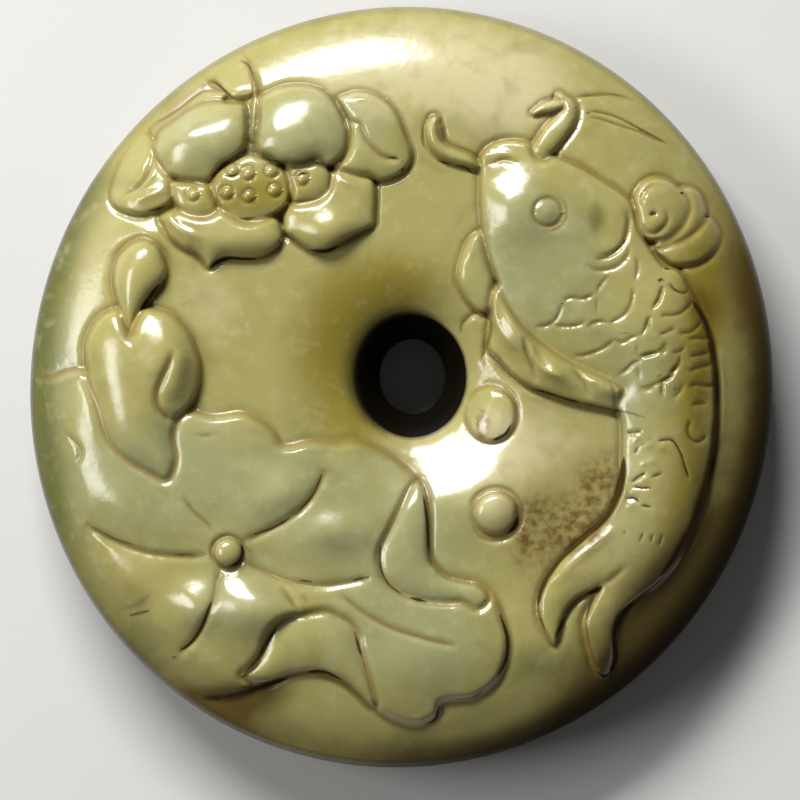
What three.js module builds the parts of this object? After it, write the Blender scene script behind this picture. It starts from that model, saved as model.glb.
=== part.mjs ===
// Jade bi disc carved in relief with a lotus flower, a bud, lotus leaves, a carp and two beads.
// The disc lies on its back: +Z is the carved face, +Y is the head of the design, millimetres.
import * as THREE from "three";

// ---- driving dimensions -------------------------------------------------------------------
const LENGTH = 59.1; // longest way across
const WIDTH = 57.4; // shortest way across
const LONG_AXIS_TURN = 16; // degrees the longest way leans clockwise from +Y
const THICKNESS = 12; // rest plane to the highest carving
const RIM_TOP = 7.0; // arris where the carved face turns into the edge
const RIM_FOOT = 3.6; // lower end of the upright edge
const EDGE_BULGE = 0.35; // how far the middle of the edge stands out past the arris
const FACE_RISE = 3.3; // plain face above the arris
const SHOULDER_RUN = 9.5; // how far in from the rim the face goes on rising
const LIP_DROP = 2.3; // plain face sinks this much into the hole
const LIP_RUN = 5.2; // over this distance
const BACK_RUN = 8.5; // width of the rounded margin of the back
const BACK_LIP_RUN = 4.5; // width of the rounding round the hole at the back
const BACK_LIP_RISE = 1.4; // height of that rounding
const HOLE_CENTRE = [0.86, 0.82]; // the hole is bored a little off the middle
const HOLE_HALF = [4.1, 4.65]; // half-width and half-height of its mouth
const WAIST_SCALE = 0.8; // the two bores meet in a narrower waist
const MESH_STEP = 0.82; // spacing of the facets on the carved face
const BACK_STEP = 2.6; // spacing of the facets on the plain back
const REACH = 1.3; // how far outside a figure its cut is felt

// ---- small helpers ------------------------------------------------------------------------
const clamp01 = (x) => Math.min(1, Math.max(0, x));
const mix = (a, b, t) => a + (b - a) * t;
const ease = (a, b, x) => {
  const t = clamp01((x - a) / (b - a));
  return t * t * (3 - 2 * t);
};

/** A smooth curve through the given places, as short straight pieces. */
function smooth(places, closed) {
  const n = places.length;
  const at = (i) => {
    if (closed) return places[(i + n) % n];
    if (i < 0) return places[0].map((v, k) => 2 * v - places[1][k]);
    if (i >= n) return places[n - 1].map((v, k) => 2 * v - places[n - 2][k]);
    return places[i];
  };
  const line = [];
  const spans = closed ? n : n - 1;
  for (let i = 0; i < spans; i += 1) {
    const [a, b, c, d] = [at(i - 1), at(i), at(i + 1), at(i + 2)];
    const count = Math.max(2, Math.ceil(Math.hypot(c[0] - b[0], c[1] - b[1]) / 0.4));
    for (let j = 0; j < count; j += 1) {
      const t = j / count;
      line.push(
        b.map((v, k) => {
          const q = 2 * a[k] - 5 * v + 4 * c[k] - d[k];
          const r = 3 * v - 3 * c[k] + d[k] - a[k];
          return 0.5 * (2 * v + (c[k] - a[k]) * t + q * t * t + r * t * t * t);
        }),
      );
    }
  }
  if (!closed) line.push(at(n - 1));
  return line;
}

/** Nearest place on a line: how far away, how far along, and the width there. */
function nearest(line, closed, x, y) {
  let best = { far: 1e9, along: 0, width: 0 };
  let run = 0;
  const count = closed ? line.length : line.length - 1;
  for (let i = 0; i < count; i += 1) {
    const a = line[i];
    const b = line[(i + 1) % line.length];
    const ux = b[0] - a[0];
    const uy = b[1] - a[1];
    const long = Math.hypot(ux, uy) + 1e-9;
    const t = clamp01(((x - a[0]) * ux + (y - a[1]) * uy) / (long * long));
    const far = Math.hypot(x - a[0] - t * ux, y - a[1] - t * uy);
    if (far < best.far) {
      const width = mix(a[2] ?? 0, b[2] ?? 0, t);
      best = { far, along: run + t * long, width, at: [a[0] + t * ux, a[1] + t * uy] };
    }
    run += long;
  }
  return { ...best, total: run };
}

/** True when the place lies inside the closed line. */
function within(line, x, y) {
  let inside = false;
  for (let i = 0; i < line.length; i += 1) {
    const [x0, y0] = line[i];
    const [x1, y1] = line[(i + 1) % line.length];
    if (y0 > y !== y1 > y && x < ((x1 - x0) * (y - y0)) / (y1 - y0) + x0) inside = !inside;
  }
  return inside;
}

/** Depth inside a closed line, free of the creases that the plain distance has. */
function softDepth(line, x, y) {
  let pull = 0;
  for (let i = 0; i < line.length; i += 1) {
    const [x0, y0] = line[i];
    const [x1, y1] = line[(i + 1) % line.length];
    const long = Math.hypot(x1 - x0, y1 - y0) + 1e-9;
    const [ux, uy] = [(x1 - x0) / long, (y1 - y0) / long];
    const s0 = (x0 - x) * ux + (y0 - y) * uy;
    const s1 = s0 + long;
    const hh = ((x0 - x) * uy - (y0 - y) * ux) ** 2 + 1e-4;
    pull += (s1 / Math.hypot(Math.sqrt(hh), s1) - s0 / Math.hypot(Math.sqrt(hh), s0)) / hh;
  }
  return Math.sqrt(2 / pull);
}

// ---- shapes a figure can have -------------------------------------------------------------
/** A closed smooth outline. */
function outline(...places) {
  const line = smooth(places, true);
  return {
    line,
    measure(x, y) {
      const { far } = nearest(line, true, x, y);
      const inside = within(line, x, y);
      return { edge: inside ? far : -far, depth: inside ? softDepth(line, x, y) : 0 };
    },
  };
}

/** An oval with its half-sizes and its turn in degrees. */
function oval(cx, cy, rx, ry = rx, turn = 0) {
  const c = Math.cos((turn * Math.PI) / 180);
  const s = Math.sin((turn * Math.PI) / 180);
  return {
    line: Array.from({ length: 24 }, (_, i) => {
      const a = (i / 12) * Math.PI;
      const u = rx * Math.cos(a);
      const v = ry * Math.sin(a);
      return [cx + u * c - v * s, cy + u * s + v * c];
    }),
    measure(x, y) {
      const u = ((x - cx) * c + (y - cy) * s) / rx;
      const v = (-(x - cx) * s + (y - cy) * c) / ry;
      const k = Math.hypot(u, v) + 1e-9;
      const edge = ((1 - k) * k) / (Math.hypot(u / rx, v / ry) + 1e-9);
      return { edge, depth: Math.max(0, edge) };
    },
  };
}

/** A tapering band: places along its middle with the half-width at each. */
function band(...stations) {
  const line = smooth(stations, false);
  return {
    line,
    measure(x, y) {
      const { far, width } = nearest(line, false, x, y);
      return { edge: width - far, depth: Math.max(0, width - far) };
    },
  };
}

// ---- ways of cutting ----------------------------------------------------------------------
/** The box round a figure's line, so that places far from it are passed over. */
function fence(line) {
  const xs = line.map((p) => p[0]);
  const ys = line.map((p) => p[1]);
  const m = REACH + Math.max(...line.map((p) => p[2] ?? 0));
  return [Math.min(...xs) - m, Math.max(...xs) + m, Math.min(...ys) - m, Math.max(...ys) + m];
}

const outside = (f, x, y) => x < f[0] || x > f[1] || y < f[2] || y > f[3];

/** A raised form: its edge stands `lift` up, its middle `crown` more, with a cut round it. */
function pad(shape, lift, crown, shoulder, cut = 0.25) {
  const box = fence(shape.line);
  const cutting = (x, y, h) => {
    if (outside(box, x, y)) return h;
    const { edge, depth } = shape.measure(x, y);
    const dome = 1 - (1 - clamp01(depth / shoulder)) ** 2;
    const k = ease(-0.3, 0.3, edge);
    const trench = Math.exp(-(((edge + 0.3) / 0.45) ** 2));
    return mix(h, lift + crown * dome, k) - cut * trench;
  };
  cutting.shape = shape;
  cutting.box = box;
  return cutting;
}

/** A cut along a path, or a raised thread where the depth is negative. */
function stroke(path, depth = 0.3, width = 0.35) {
  const line = smooth(path, false);
  const box = fence(line);
  return (x, y, h) => {
    if (outside(box, x, y)) return h;
    const { far, along, total } = nearest(line, false, x, y);
    const fade = clamp01(Math.min(along, total - along) / 1.2);
    return h - depth * fade * Math.exp(-((far / width) ** 2));
  };
}

/** A broad soft rise, or a hollow where the height is negative. */
function swell(cx, cy, rx, ry, turn, height) {
  const c = Math.cos((turn * Math.PI) / 180);
  const s = Math.sin((turn * Math.PI) / 180);
  return (x, y, h) => {
    const u = ((x - cx) * c + (y - cy) * s) / rx;
    const v = (-(x - cx) * s + (y - cy) * c) / ry;
    return h + height * Math.exp(-(u * u + v * v));
  };
}

// ---- the big lotus leaf -------------------------------------------------------------------
const leaf = [
  pad(
    outline(
      [-27, 0.6], [-24, 1.1], [-18, -1], [-12.5, -2], [-9.4, -4.3], [-7, -4.3], [-3.5, -4.3], [0, -6.1],
      [1.9, -8.8], [2.1, -12.9], [3.5, -14.7], [6, -15.2], [7.7, -17.8], [8.1, -20.8], [6.7, -23.2],
      [3.6, -24.1], [2.7, -25.3], [0.8, -26], [-2, -24.6], [-4.6, -22.6], [-6.8, -21.9], [-10, -22.6],
      [-13, -23.8], [-17, -23.6], [-23, -20], [-28, -12], [-30, -4],
    ),
    0.75, 0.75, 5,
  ),
  swell(-17, -16, 5, 4, 30, 0.35),
  swell(-20, -9, 4, 2.5, -20, 0.35),
  swell(-6, -11.5, 4.5, 2.2, -15, 0.35),
  pad(
    outline(
      [-12.2, -22.3], [-10.7, -20.5], [-9.7, -18.4], [-7.8, -17.5], [-5.7, -17.3], [-4, -18.2], [-3.2, -20.2],
      [-2.4, -23], [-2, -24.6], [-4.6, -22.6], [-6.8, -21.9], [-9.5, -22.4],
    ),
    0.5, 0.9, 2.2, 0.3,
  ),
  pad(
    outline(
      [1.1, -7.4], [1.9, -8.9], [2.05, -12.9], [3.5, -14.8], [5.9, -16.6], [4.7, -16.5], [2, -16.4],
      [-0.3, -15.6], [-1.5, -14], [-1.6, -12.6], [-0.5, -10.3],
    ),
    1.05, 0.6, 1.6, 0.35,
  ),
  stroke([[-24.3, -10.4], [-21, -12], [-16.5, -12.85], [-14.6, -12.8]]),
  stroke([[-14, -13.6], [-14.2, -16.3], [-15.1, -18.3], [-17.3, -20.7]], 0.35, 0.4),
  stroke([[-12.2, -13.4], [-9.5, -14.3], [-6.5, -14.9], [-2.4, -14.5]]),
  stroke([[-12.2, -13.6], [-9.4, -15], [-8.3, -16.4], [-7.4, -17.3]]),
  stroke([[-12.4, -12], [-9.5, -10.6], [-7.7, -9.5], [-5.8, -6.4]]),
  stroke([[-14, -11.6], [-15.9, -8.9], [-17.9, -5.3]], 0.3, 0.6),
  stroke([[-4.5, -15.9], [-1.8, -17.8], [1, -19], [4.4, -19.7]]),
  pad(oval(-13.3, -12.7, 1.15), 1.5, 0.45, 1.0),
];

// ---- the leaf on the left and the bud above it ------------------------------------------
const hump = [
  pad(
    outline(
      [-21.6, 6], [-23.6, 4.8], [-24.3, 3], [-24.1, 0.8], [-23, -2.6], [-21, -5.3], [-18, -7], [-15.9, -5],
      [-15.2, -1.5], [-15.6, 1.5], [-16.2, 3.8], [-17.8, 5.6], [-19.8, 6.1],
    ),
    1.15, 1.35, 3.4,
  ),
  stroke([[-17.5, 2.8], [-18.2, 0.8], [-18.6, -1], [-17.3, -2.6]], 0.35, 0.45),
  pad(
    outline(
      [-20, 11.3], [-21.5, 10.3], [-22.2, 7.8], [-21.7, 5.8], [-21, 3.8], [-20.2, 5.5], [-18.8, 7.3],
      [-18, 8.5], [-18.5, 10.4],
    ),
    0.9, 1.1, 1.7,
  ),
];

// ---- the lotus flower ---------------------------------------------------------------------
const flower = [
  pad(
    outline(
      [-20, 19.6], [-21.6, 17.4], [-22.4, 14.8], [-21.3, 13.4], [-19, 13.4], [-17.4, 14.4], [-17.6, 16.4],
      [-18.8, 18.8],
    ),
    0.55, 0.6, 1.5,
  ),
  pad(outline([-14.7, 23.6], [-13, 25.6], [-11.7, 24.6], [-11.4, 22.6], [-13.4, 22.4]), 0.4, 0.6, 1.2),
  pad(
    outline([-19.5, 20], [-17, 21.3], [-15, 22.6], [-13.4, 22.5], [-14, 21.2], [-17.4, 20.2], [-19, 18.8]),
    0.4, 0.25, 0.8,
  ),
  pad(
    outline(
      [-4.8, 22], [-3.3, 22.6], [-1.3, 22], [0, 19.9], [1.2, 17.4], [-0.4, 16], [-2.2, 15.8], [-5.3, 16.6],
      [-4.2, 18.6], [-4.2, 20.6],
    ),
    0.6, 0.75, 1.9,
  ),
  pad(
    outline(
      [-18.5, 13.3], [-18, 11.4], [-16, 10.3], [-14.8, 9.1], [-13.5, 9.9], [-11.2, 9.9], [-9.4, 10.9],
      [-9.2, 12.4], [-11, 14], [-15, 14.2],
    ),
    0.6, 1.0, 2.0,
  ),
  pad(
    outline(
      [-1.9, 15.6], [-2, 13], [-3.5, 11.3], [-6, 10.35], [-8, 11], [-9, 12.1], [-8.2, 14.5], [-5.5, 16.6],
      [-3.2, 16.2],
    ),
    0.6, 1.0, 2.2,
  ),
  pad(
    outline(
      [-17.5, 15.6], [-17.2, 13.8], [-15, 13], [-13, 12.7], [-11.5, 12.5], [-9.4, 13.3], [-6.5, 14.3],
      [-5.5, 15.8], [-6.2, 17.5], [-9.3, 17.2], [-11.5, 18.1], [-14, 16.8],
    ),
    0.8, 0.7, 2.0,
  ),
  pad(
    outline(
      [-19, 19.4], [-17.5, 20.8], [-14.6, 22.1], [-11.9, 21.9], [-11.8, 18.5], [-13.7, 17], [-14.6, 15.6],
      [-17.2, 16], [-18.7, 17.4],
    ),
    1.0, 1.2, 2.4,
  ),
  pad(
    outline(
      [-10.9, 22.3], [-8.5, 23], [-6, 22.5], [-4.6, 20.9], [-4.2, 18.4], [-5.5, 16.9], [-7.7, 17.2],
      [-9.6, 17.2], [-11.3, 18.5],
    ),
    1.0, 1.3, 2.6,
  ),
  stroke([[-12.9, 26], [-11.4, 24.3], [-11.1, 22], [-11.5, 18.6]], -0.55, 0.4),
  ...[[-13, 16.6], [-11.7, 16.2], [-9.9, 16.3], [-11.7, 14.4], [-9.7, 14.9], [-13.6, 14.6], [-7.8, 15.9], [-16, 14.7]].map(
    ([x, y]) => pad(oval(x, y, 0.62), 1.55, 0.25, 0.5, 0.2),
  ),
  stroke([[-19.1, 18.8], [-19.5, 16.8], [-21.2, 14.9]]),
  stroke([[-4.2, 21], [-2.9, 19.3], [-1.2, 17.5], [0, 17.5]]),
];

// ---- the carp -----------------------------------------------------------------------------
const scroll = [
  pad(
    outline([21.2, 15], [22.6, 15.3], [23.6, 14], [24.5, 12.4], [24.5, 10.8], [22.9, 9.4], [21, 9.3], [19, 11]),
    0.55, 0.6, 1.8,
  ),
  pad(
    outline([18.1, 13.2], [18.4, 15.2], [20, 16.1], [21.5, 15], [22.2, 13.8], [21.2, 12], [19.6, 10.9], [18.2, 11.6]),
    0.8, 0.8, 1.8,
  ),
  pad(oval(19.6, 12.7, 0.95), 0.9, -0.35, 0.9, 0.3),
];
const carp = [
  ...scroll,
  swell(13, -6.5, 3.8, 4.5, 0, -0.45),
  pad(band([5.9, 17, 0.35], [4.2, 17.6, 0.6], [2.8, 18.4, 0.62], [2.4, 19.8, 0.58], [2.6, 20.8, 0.4]), 0.35, 0.6, 0.6),
  pad(
    outline([6, 11.9], [4.6, 10], [4.2, 8.2], [4.8, 6.2], [6.2, 4.4], [8, 3.4], [8.4, 6], [7.4, 8.3], [6.8, 9.6]),
    0.5, 0.4, 1.2,
  ),
  pad(
    outline(
      [7.2, 7.6], [7, 5.5], [6.5, 3.2], [7.9, 1.5], [10.2, 0], [12.5, -0.85], [15.5, -1.5], [18.3, -2.1],
      [20, -1], [16, 2], [11, 5], [8.5, 8],
    ),
    0.75, 0.5, 1.6,
  ),
  pad(
    outline(
      [6.3, 17.7], [8.3, 19.1], [10.5, 18.7], [13.2, 17.2], [15.5, 15.8], [17.5, 14.1], [18.4, 11.8],
      [20, 9.6], [21.7, 8.6], [23.2, 5.5], [24.2, 1.5], [24.3, -3], [23.7, -7.4], [22.3, -11.5],
      [20.6, -14.2], [18.3, -16.2], [16.7, -18.3], [16.4, -21], [15.6, -22.4], [14.7, -21], [14.1, -18.2],
      [15.2, -15.5], [13, -16.8], [12.1, -18.8], [11.9, -20], [10.9, -18.4], [10.6, -16.4], [11.6, -14.2],
      [14.2, -11.6], [16.4, -9.2], [17.05, -5.6], [16.6, -1.6], [16.9, 0], [13.5, 1.7], [10.2, 3.8],
      [8, 6.2], [7.1, 9], [6.2, 11.8], [6, 14.6],
    ),
    1.05, 1.75, 4.2, 0.35,
  ),
  stroke([[7, 17.1], [8, 17.4], [9.1, 17.2]]),
  stroke([[17.4, 14], [17.3, 11.8], [16.3, 10.2], [14.6, 9.6]], 0.35, 0.4),
  stroke([[17.6, 11], [16.9, 9.6], [15.6, 9], [14.2, 9.4]], 0.3, 0.35),
  pad(oval(11.2, 13.6, 1.35), 2.1, 0.35, 1.1, 0.3),
  pad(
    band([10.6, 18.6, 0.95], [11.6, 19.6, 0.95], [12.6, 20.7, 0.8], [13, 21.6, 0.75], [12.2, 22.5, 0.4]),
    0.7, 0.7, 0.9,
  ),
  pad(band([13, 22, 0.25], [15.5, 22.5, 0.28], [18.3, 22.1, 0.15]), 0.35, 0.1, 0.3, 0.2),
  pad(band([13.8, 21.1, 0.4], [16.5, 20.6, 0.35], [19, 19.5, 0.22], [20.8, 18.7, 0.1]), 0.35, 0.2, 0.4, 0.2),
  stroke([[9.4, 4.2], [9.5, 2.6], [10.5, 0.5]], 0.3, 0.3),
  stroke([[12.8, 1.7], [13.6, 0.5], [14.4, -0.7]], 0.3, 0.3),
  stroke([[15, -15.4], [16.4, -14.6], [17.6, -13.4]], 0.3, 0.4),
];

// ---- the two beads ------------------------------------------------------------------------
const beads = [
  pad(oval(6.95, -2.1, 2.0, 2.05), 0.45, 0.75, 1.9),
  pad(oval(7.28, -9.76, 2.1), 0.25, 0.1, 0.6, 0.2),
  pad(oval(7.28, -9.76, 1.6), 0.4, 0.7, 1.5),
];

const CARVING = [...leaf, ...hump, ...flower, ...carp, ...beads];

/** Height of the carving above the plain face. */
function carved(x, y) {
  return CARVING.reduce((h, cutting) => cutting(x, y, h), 0);
}

// ---- the plain body -----------------------------------------------------------------------
/** A place on the oval of the rim, at an angle from +X, drawn in by an inset. */
function rimPlace(angle, inset = EDGE_BULGE) {
  const lean = ((90 - LONG_AXIS_TURN) * Math.PI) / 180;
  const c = Math.cos(angle - lean) * (LENGTH / 2 - inset);
  const s = Math.sin(angle - lean) * (WIDTH / 2 - inset);
  return [c * Math.cos(lean) - s * Math.sin(lean), c * Math.sin(lean) + s * Math.cos(lean)];
}

/** A place on the oval of the hole, drawn in or let out by a scale. */
function holePlace(angle, scale = 1) {
  return [
    HOLE_CENTRE[0] + HOLE_HALF[0] * scale * Math.cos(angle),
    HOLE_CENTRE[1] + HOLE_HALF[1] * scale * Math.sin(angle),
  ];
}

/** Height of the carved face at a place, given its share of the way from hole to rim. */
function faceHeight(x, y, share) {
  const ring = (LENGTH + WIDTH) / 4 - (HOLE_HALF[0] + HOLE_HALF[1]) / 2;
  const fromRim = (1 - share) * ring;
  const fromHole = share * ring;
  const rise = FACE_RISE * (1 - (1 - clamp01(fromRim / SHOULDER_RUN)) ** 2.3);
  const softer = 1 + 0.35 * clamp01(-(x - HOLE_CENTRE[0]) / 6);
  const lip = LIP_DROP * (1 - clamp01(fromHole / (LIP_RUN * softer))) ** 2;
  const live = ease(0.1, 2.4, fromRim) * ease(0, 2.2, fromHole);
  return RIM_TOP + rise - lip + carved(x, y) * live;
}

/** Share of the way from the hole to the rim at which a place lies. */
function shareAt(x, y) {
  const angle = Math.atan2(y - HOLE_CENTRE[1], x - HOLE_CENTRE[0]);
  let share = 0.5;
  let turn = angle;
  for (let i = 0; i < 12; i += 1) {
    const inner = holePlace(turn);
    const outer = rimPlace(turn);
    const [dx, dy] = [outer[0] - inner[0], outer[1] - inner[1]];
    const long = dx * dx + dy * dy;
    share = ((x - inner[0]) * dx + (y - inner[1]) * dy) / long;
    const off = (dx * (y - inner[1]) - dy * (x - inner[0])) / Math.sqrt(long);
    turn += off / Math.max(3, Math.hypot(x - HOLE_CENTRE[0], y - HOLE_CENTRE[1]));
  }
  return clamp01(share);
}

/** Height of the plain back: flat to rest on, rounded at the rim and at the hole. */
function backHeight(share) {
  const ring = (LENGTH + WIDTH) / 4 - (HOLE_HALF[0] + HOLE_HALF[1]) / 2;
  const margin = RIM_FOOT * (1 - clamp01(((1 - share) * ring) / BACK_RUN)) ** 2;
  const lip = BACK_LIP_RISE * (1 - clamp01((share * ring) / BACK_LIP_RUN)) ** 2;
  return margin + lip;
}

// ---- the mesh: rings of places, zipped together -------------------------------------------
/** One ring of places; `place` maps an angle to [x, y, z]. */
function ring(count, turn, place) {
  return Array.from({ length: count }, (_, i) => place(((i + turn) / count) * 2 * Math.PI));
}

/** Rings between hole and rim, spaced `step` apart, from share `from` to share `to`. */
function faceRings(step, from, to, height) {
  const span = ((LENGTH + WIDTH) / 4 - (HOLE_HALF[0] + HOLE_HALF[1]) / 2) * Math.abs(to - from);
  const count = Math.round(span / step);
  return Array.from({ length: count + 1 }, (_, i) => {
    const share = mix(from, to, i / count);
    const girth = 2 * Math.PI * mix((HOLE_HALF[0] + HOLE_HALF[1]) / 2, (LENGTH + WIDTH) / 4, share);
    return ring(2 * Math.max(7, Math.round(girth / step / 2)), (i % 2) / 2, (angle) => {
      const inner = holePlace(angle);
      const outer = rimPlace(angle);
      const x = mix(inner[0], outer[0], share);
      const y = mix(inner[1], outer[1], share);
      return [x, y, height(x, y, share)];
    });
  });
}

/** A ring on the wall of the hole at a share of its depth. */
function wallRing(share, top, bottom) {
  const scale = mix(WAIST_SCALE, 1, Math.abs(2 * share - 1) ** 1.6);
  return ring(26, 0, (angle) => {
    const [x, y] = holePlace(angle, scale);
    return [x, y, mix(top, bottom, share)];
  });
}

/** Triangles that zip two rings of different counts together. */
function zip(rings, triangles, starts, a, b) {
  const na = rings[a].length;
  const nb = rings[b].length;
  const shareOf = (list, i) => i / list.length;
  let i = 0;
  let j = 0;
  while (i < na || j < nb) {
    const pa = starts[a] + (i % na);
    const pb = starts[b] + (j % nb);
    if (j >= nb || (i < na && shareOf(rings[a], i + 1) <= shareOf(rings[b], j + 1))) {
      triangles.push([pa, pb, starts[a] + ((i + 1) % na)]);
      i += 1;
    } else {
      triangles.push([pa, pb, starts[b] + ((j + 1) % nb)]);
      j += 1;
    }
  }
}

/** Moves places that lie close to the edge of a figure onto that edge, so that it shows clean. */
function settle(rings, triangles, places) {
  const first = rings[0].length;
  const count = rings.reduce((sum, one) => sum + one.length, 0);
  const last = count - rings.at(-1).length;
  const home = places.map((p) => [p[0], p[1]]);
  const figures = CARVING.filter((cutting) => cutting.shape);
  for (let i = first; i < last; i += 1) {
    const [x, y] = home[i];
    for (let f = figures.length - 1; f >= 0; f -= 1) {
      if (outside(figures[f].box, x, y)) continue;
      const { far, at } = nearest(figures[f].shape.line, true, x, y);
      if (far < 0.46 * MESH_STEP) {
        places[i] = [at[0], at[1], 0];
        break;
      }
      if (figures[f].shape.measure(x, y).edge > 0) break;
    }
  }
  const area = ([a, b, c]) => {
    const [p, q, r] = [places[a], places[b], places[c]];
    return ((q[0] - p[0]) * (r[1] - p[1]) - (q[1] - p[1]) * (r[0] - p[0])) / 2;
  };
  for (let pass = 0; pass < 6; pass += 1) {
    for (const triangle of triangles) {
      if (triangle.some((v) => v >= count)) continue;
      if (area(triangle) > 0.06 * MESH_STEP * MESH_STEP) continue;
      const moved = triangle.map((v) => Math.hypot(places[v][0] - home[v][0], places[v][1] - home[v][1]));
      const worst = triangle[moved.indexOf(Math.max(...moved))];
      places[worst] = [mix(places[worst][0], home[worst][0], 0.5), mix(places[worst][1], home[worst][1], 0.5), 0];
    }
  }
}

/** Turns the shared side of two triangles where the other way across lies closer to the carving. */
function turnSides(triangles, places, count, heightAt) {
  const miss = (a, b) => {
    const x = (places[a][0] + places[b][0]) / 2;
    const y = (places[a][1] + places[b][1]) / 2;
    return Math.abs(heightAt(x, y) - (places[a][2] + places[b][2]) / 2);
  };
  const area = (a, b, c) => {
    const [p, q, r] = [places[a], places[b], places[c]];
    return ((q[0] - p[0]) * (r[1] - p[1]) - (q[1] - p[1]) * (r[0] - p[0])) / 2;
  };
  for (let pass = 0; pass < 5; pass += 1) {
    const sides = new Map();
    const busy = new Set();
    triangles.forEach((t, k) => t.forEach((v, i) => sides.set(`${v},${t[(i + 1) % 3]}`, [k, t[(i + 2) % 3]])));
    for (const [key, [k, c]] of sides) {
      const [a, b] = key.split(",").map(Number);
      const twin = sides.get(`${b},${a}`);
      if (a > b || !twin || busy.has(k) || busy.has(twin[0])) continue;
      const d = twin[1];
      if (Math.max(a, b, c, d) >= count || sides.has(`${c},${d}`) || sides.has(`${d},${c}`)) continue;
      const least = 0.05 * MESH_STEP * MESH_STEP;
      if (area(a, d, c) < least || area(d, b, c) < least) continue;
      if (miss(c, d) + 0.015 > miss(a, b)) continue;
      triangles[k] = [a, d, c];
      triangles[twin[0]] = [d, b, c];
      busy.add(k);
      busy.add(twin[0]);
    }
  }
}

/** The whole disc as one closed mesh. */
function discGeometry() {
  const front = faceRings(MESH_STEP, 0, 1, faceHeight);
  const around = front.at(-1).length;
  const turn = ((front.length - 1) % 2) / 2;
  const waist = ring(around / 2, turn / 2, (angle) => [...rimPlace(angle, 0), (RIM_TOP + RIM_FOOT) / 2]);
  const foot = ring(around / 2, turn / 2, (angle) => [...rimPlace(angle), RIM_FOOT]);
  const back = faceRings(BACK_STEP, 1, 0, (x, y, share) => backHeight(share)).slice(1);
  const topLip = RIM_TOP + FACE_RISE - LIP_DROP;
  const wall = [0.8, 0.6, 0.4, 0.2].map((share) => wallRing(share, topLip, BACK_LIP_RISE));
  const rings = [...front, waist, foot, ...back, ...wall];
  const starts = [];
  const places = [];
  for (const one of rings) {
    starts.push(places.length);
    places.push(...one);
  }
  const triangles = [];
  for (let k = 0; k < rings.length; k += 1) zip(rings, triangles, starts, k, (k + 1) % rings.length);
  const frontCount = starts[front.length];
  settle(front, triangles, places);
  const heightAt = (x, y) => faceHeight(x, y, shareAt(x, y));
  for (let i = front[0].length; i < frontCount - front.at(-1).length; i += 1) {
    places[i][2] = heightAt(places[i][0], places[i][1]);
  }
  turnSides(triangles, places, frontCount, heightAt);
  const lowest = Math.min(...places.map((p) => p[2]));
  const highest = Math.max(...places.map((p) => p[2]));
  const stretch = THICKNESS / (highest - lowest);
  const flat = places.flatMap(([x, y, z]) => [x, y, (z - lowest) * stretch]);
  const geometry = new THREE.BufferGeometry();
  geometry.setAttribute("position", new THREE.Float32BufferAttribute(flat, 3));
  geometry.setIndex(triangles.flat());
  return geometry;
}

const stone = new THREE.MeshStandardMaterial({ color: 0x9aa070, roughness: 0.25, metalness: 0 });
const disc = new THREE.Mesh(discGeometry(), stone);
disc.name = "jade_disc";

const group = new THREE.Group();
group.name = "jade_bi_disc";
group.add(disc);

export default group;
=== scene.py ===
"""Jade disc, pierced through the middle and carved with a lotus, a bud, leaves, a carp and two beads.

The disc lies on its back on a pale floor. All sizes of the carving are millimetres on the face, with +X to
the right and +Y towards the head of the design; the mesh is made in metres in the frame of the solids.
"""

import logging
import math
from dataclasses import dataclass, field
from typing import Any, Protocol, Sequence

import bpy
import numpy as np
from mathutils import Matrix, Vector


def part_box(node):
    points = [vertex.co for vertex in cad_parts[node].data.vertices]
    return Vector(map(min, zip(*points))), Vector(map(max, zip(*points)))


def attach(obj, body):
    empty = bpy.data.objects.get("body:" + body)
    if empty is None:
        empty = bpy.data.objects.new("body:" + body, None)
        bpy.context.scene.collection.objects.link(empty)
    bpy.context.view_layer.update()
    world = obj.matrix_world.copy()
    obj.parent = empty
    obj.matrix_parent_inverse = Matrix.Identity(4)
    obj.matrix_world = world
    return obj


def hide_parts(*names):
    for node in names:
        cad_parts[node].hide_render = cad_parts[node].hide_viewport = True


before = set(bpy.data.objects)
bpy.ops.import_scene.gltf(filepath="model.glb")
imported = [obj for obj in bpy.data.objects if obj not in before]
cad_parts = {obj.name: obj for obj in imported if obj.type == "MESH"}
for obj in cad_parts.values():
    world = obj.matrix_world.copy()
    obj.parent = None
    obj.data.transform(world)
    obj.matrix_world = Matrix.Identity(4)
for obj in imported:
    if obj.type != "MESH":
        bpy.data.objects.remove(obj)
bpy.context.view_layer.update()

LOG = logging.getLogger("jade_disc")
NODE = "jade_disc"
MM = 0.001
TINY = 1e-9
Place = tuple[float, ...]
Path = tuple[Place, ...]
Array = np.ndarray

# How finely curves are drawn: mm along a curve, mm2 that keeps a depth finite on the line, degrees of an arc.
CURVE_STEP = 0.25
DEPTH_SOFTENING = 1e-4
ARC_STEP = 25

# How far round a form, a stroke (in its widths) or a deposit the face is changed, in mm.
PAD_REACH = 1.3
STROKE_REACH = 4
DEPOSIT_REACH = 1.2

# Where a form's trench and the line in it lie outside its edge, and how wide lines are, in widths of the cut.
TRENCH_OFFSET = 0.6
LINE_OFFSET = 0.5
PAD_LINE = 0.7
STROKE_LINE = 0.6

# How a stroke's depth rises from its ends, and the width in mm from which it is a hollow with no line in it.
STROKE_ENDS = 0.7
HOLLOW_WIDTH = 0.7


# ---- arithmetic of shapes ---------------------------------------------------------------------------


def ease(low: float, high: float, value: Array) -> Array:
    """Rises smoothly from 0 at low to 1 at high."""
    t = np.clip((value - low) / (high - low), 0.0, 1.0)
    return t * t * (3.0 - 2.0 * t)


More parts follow.
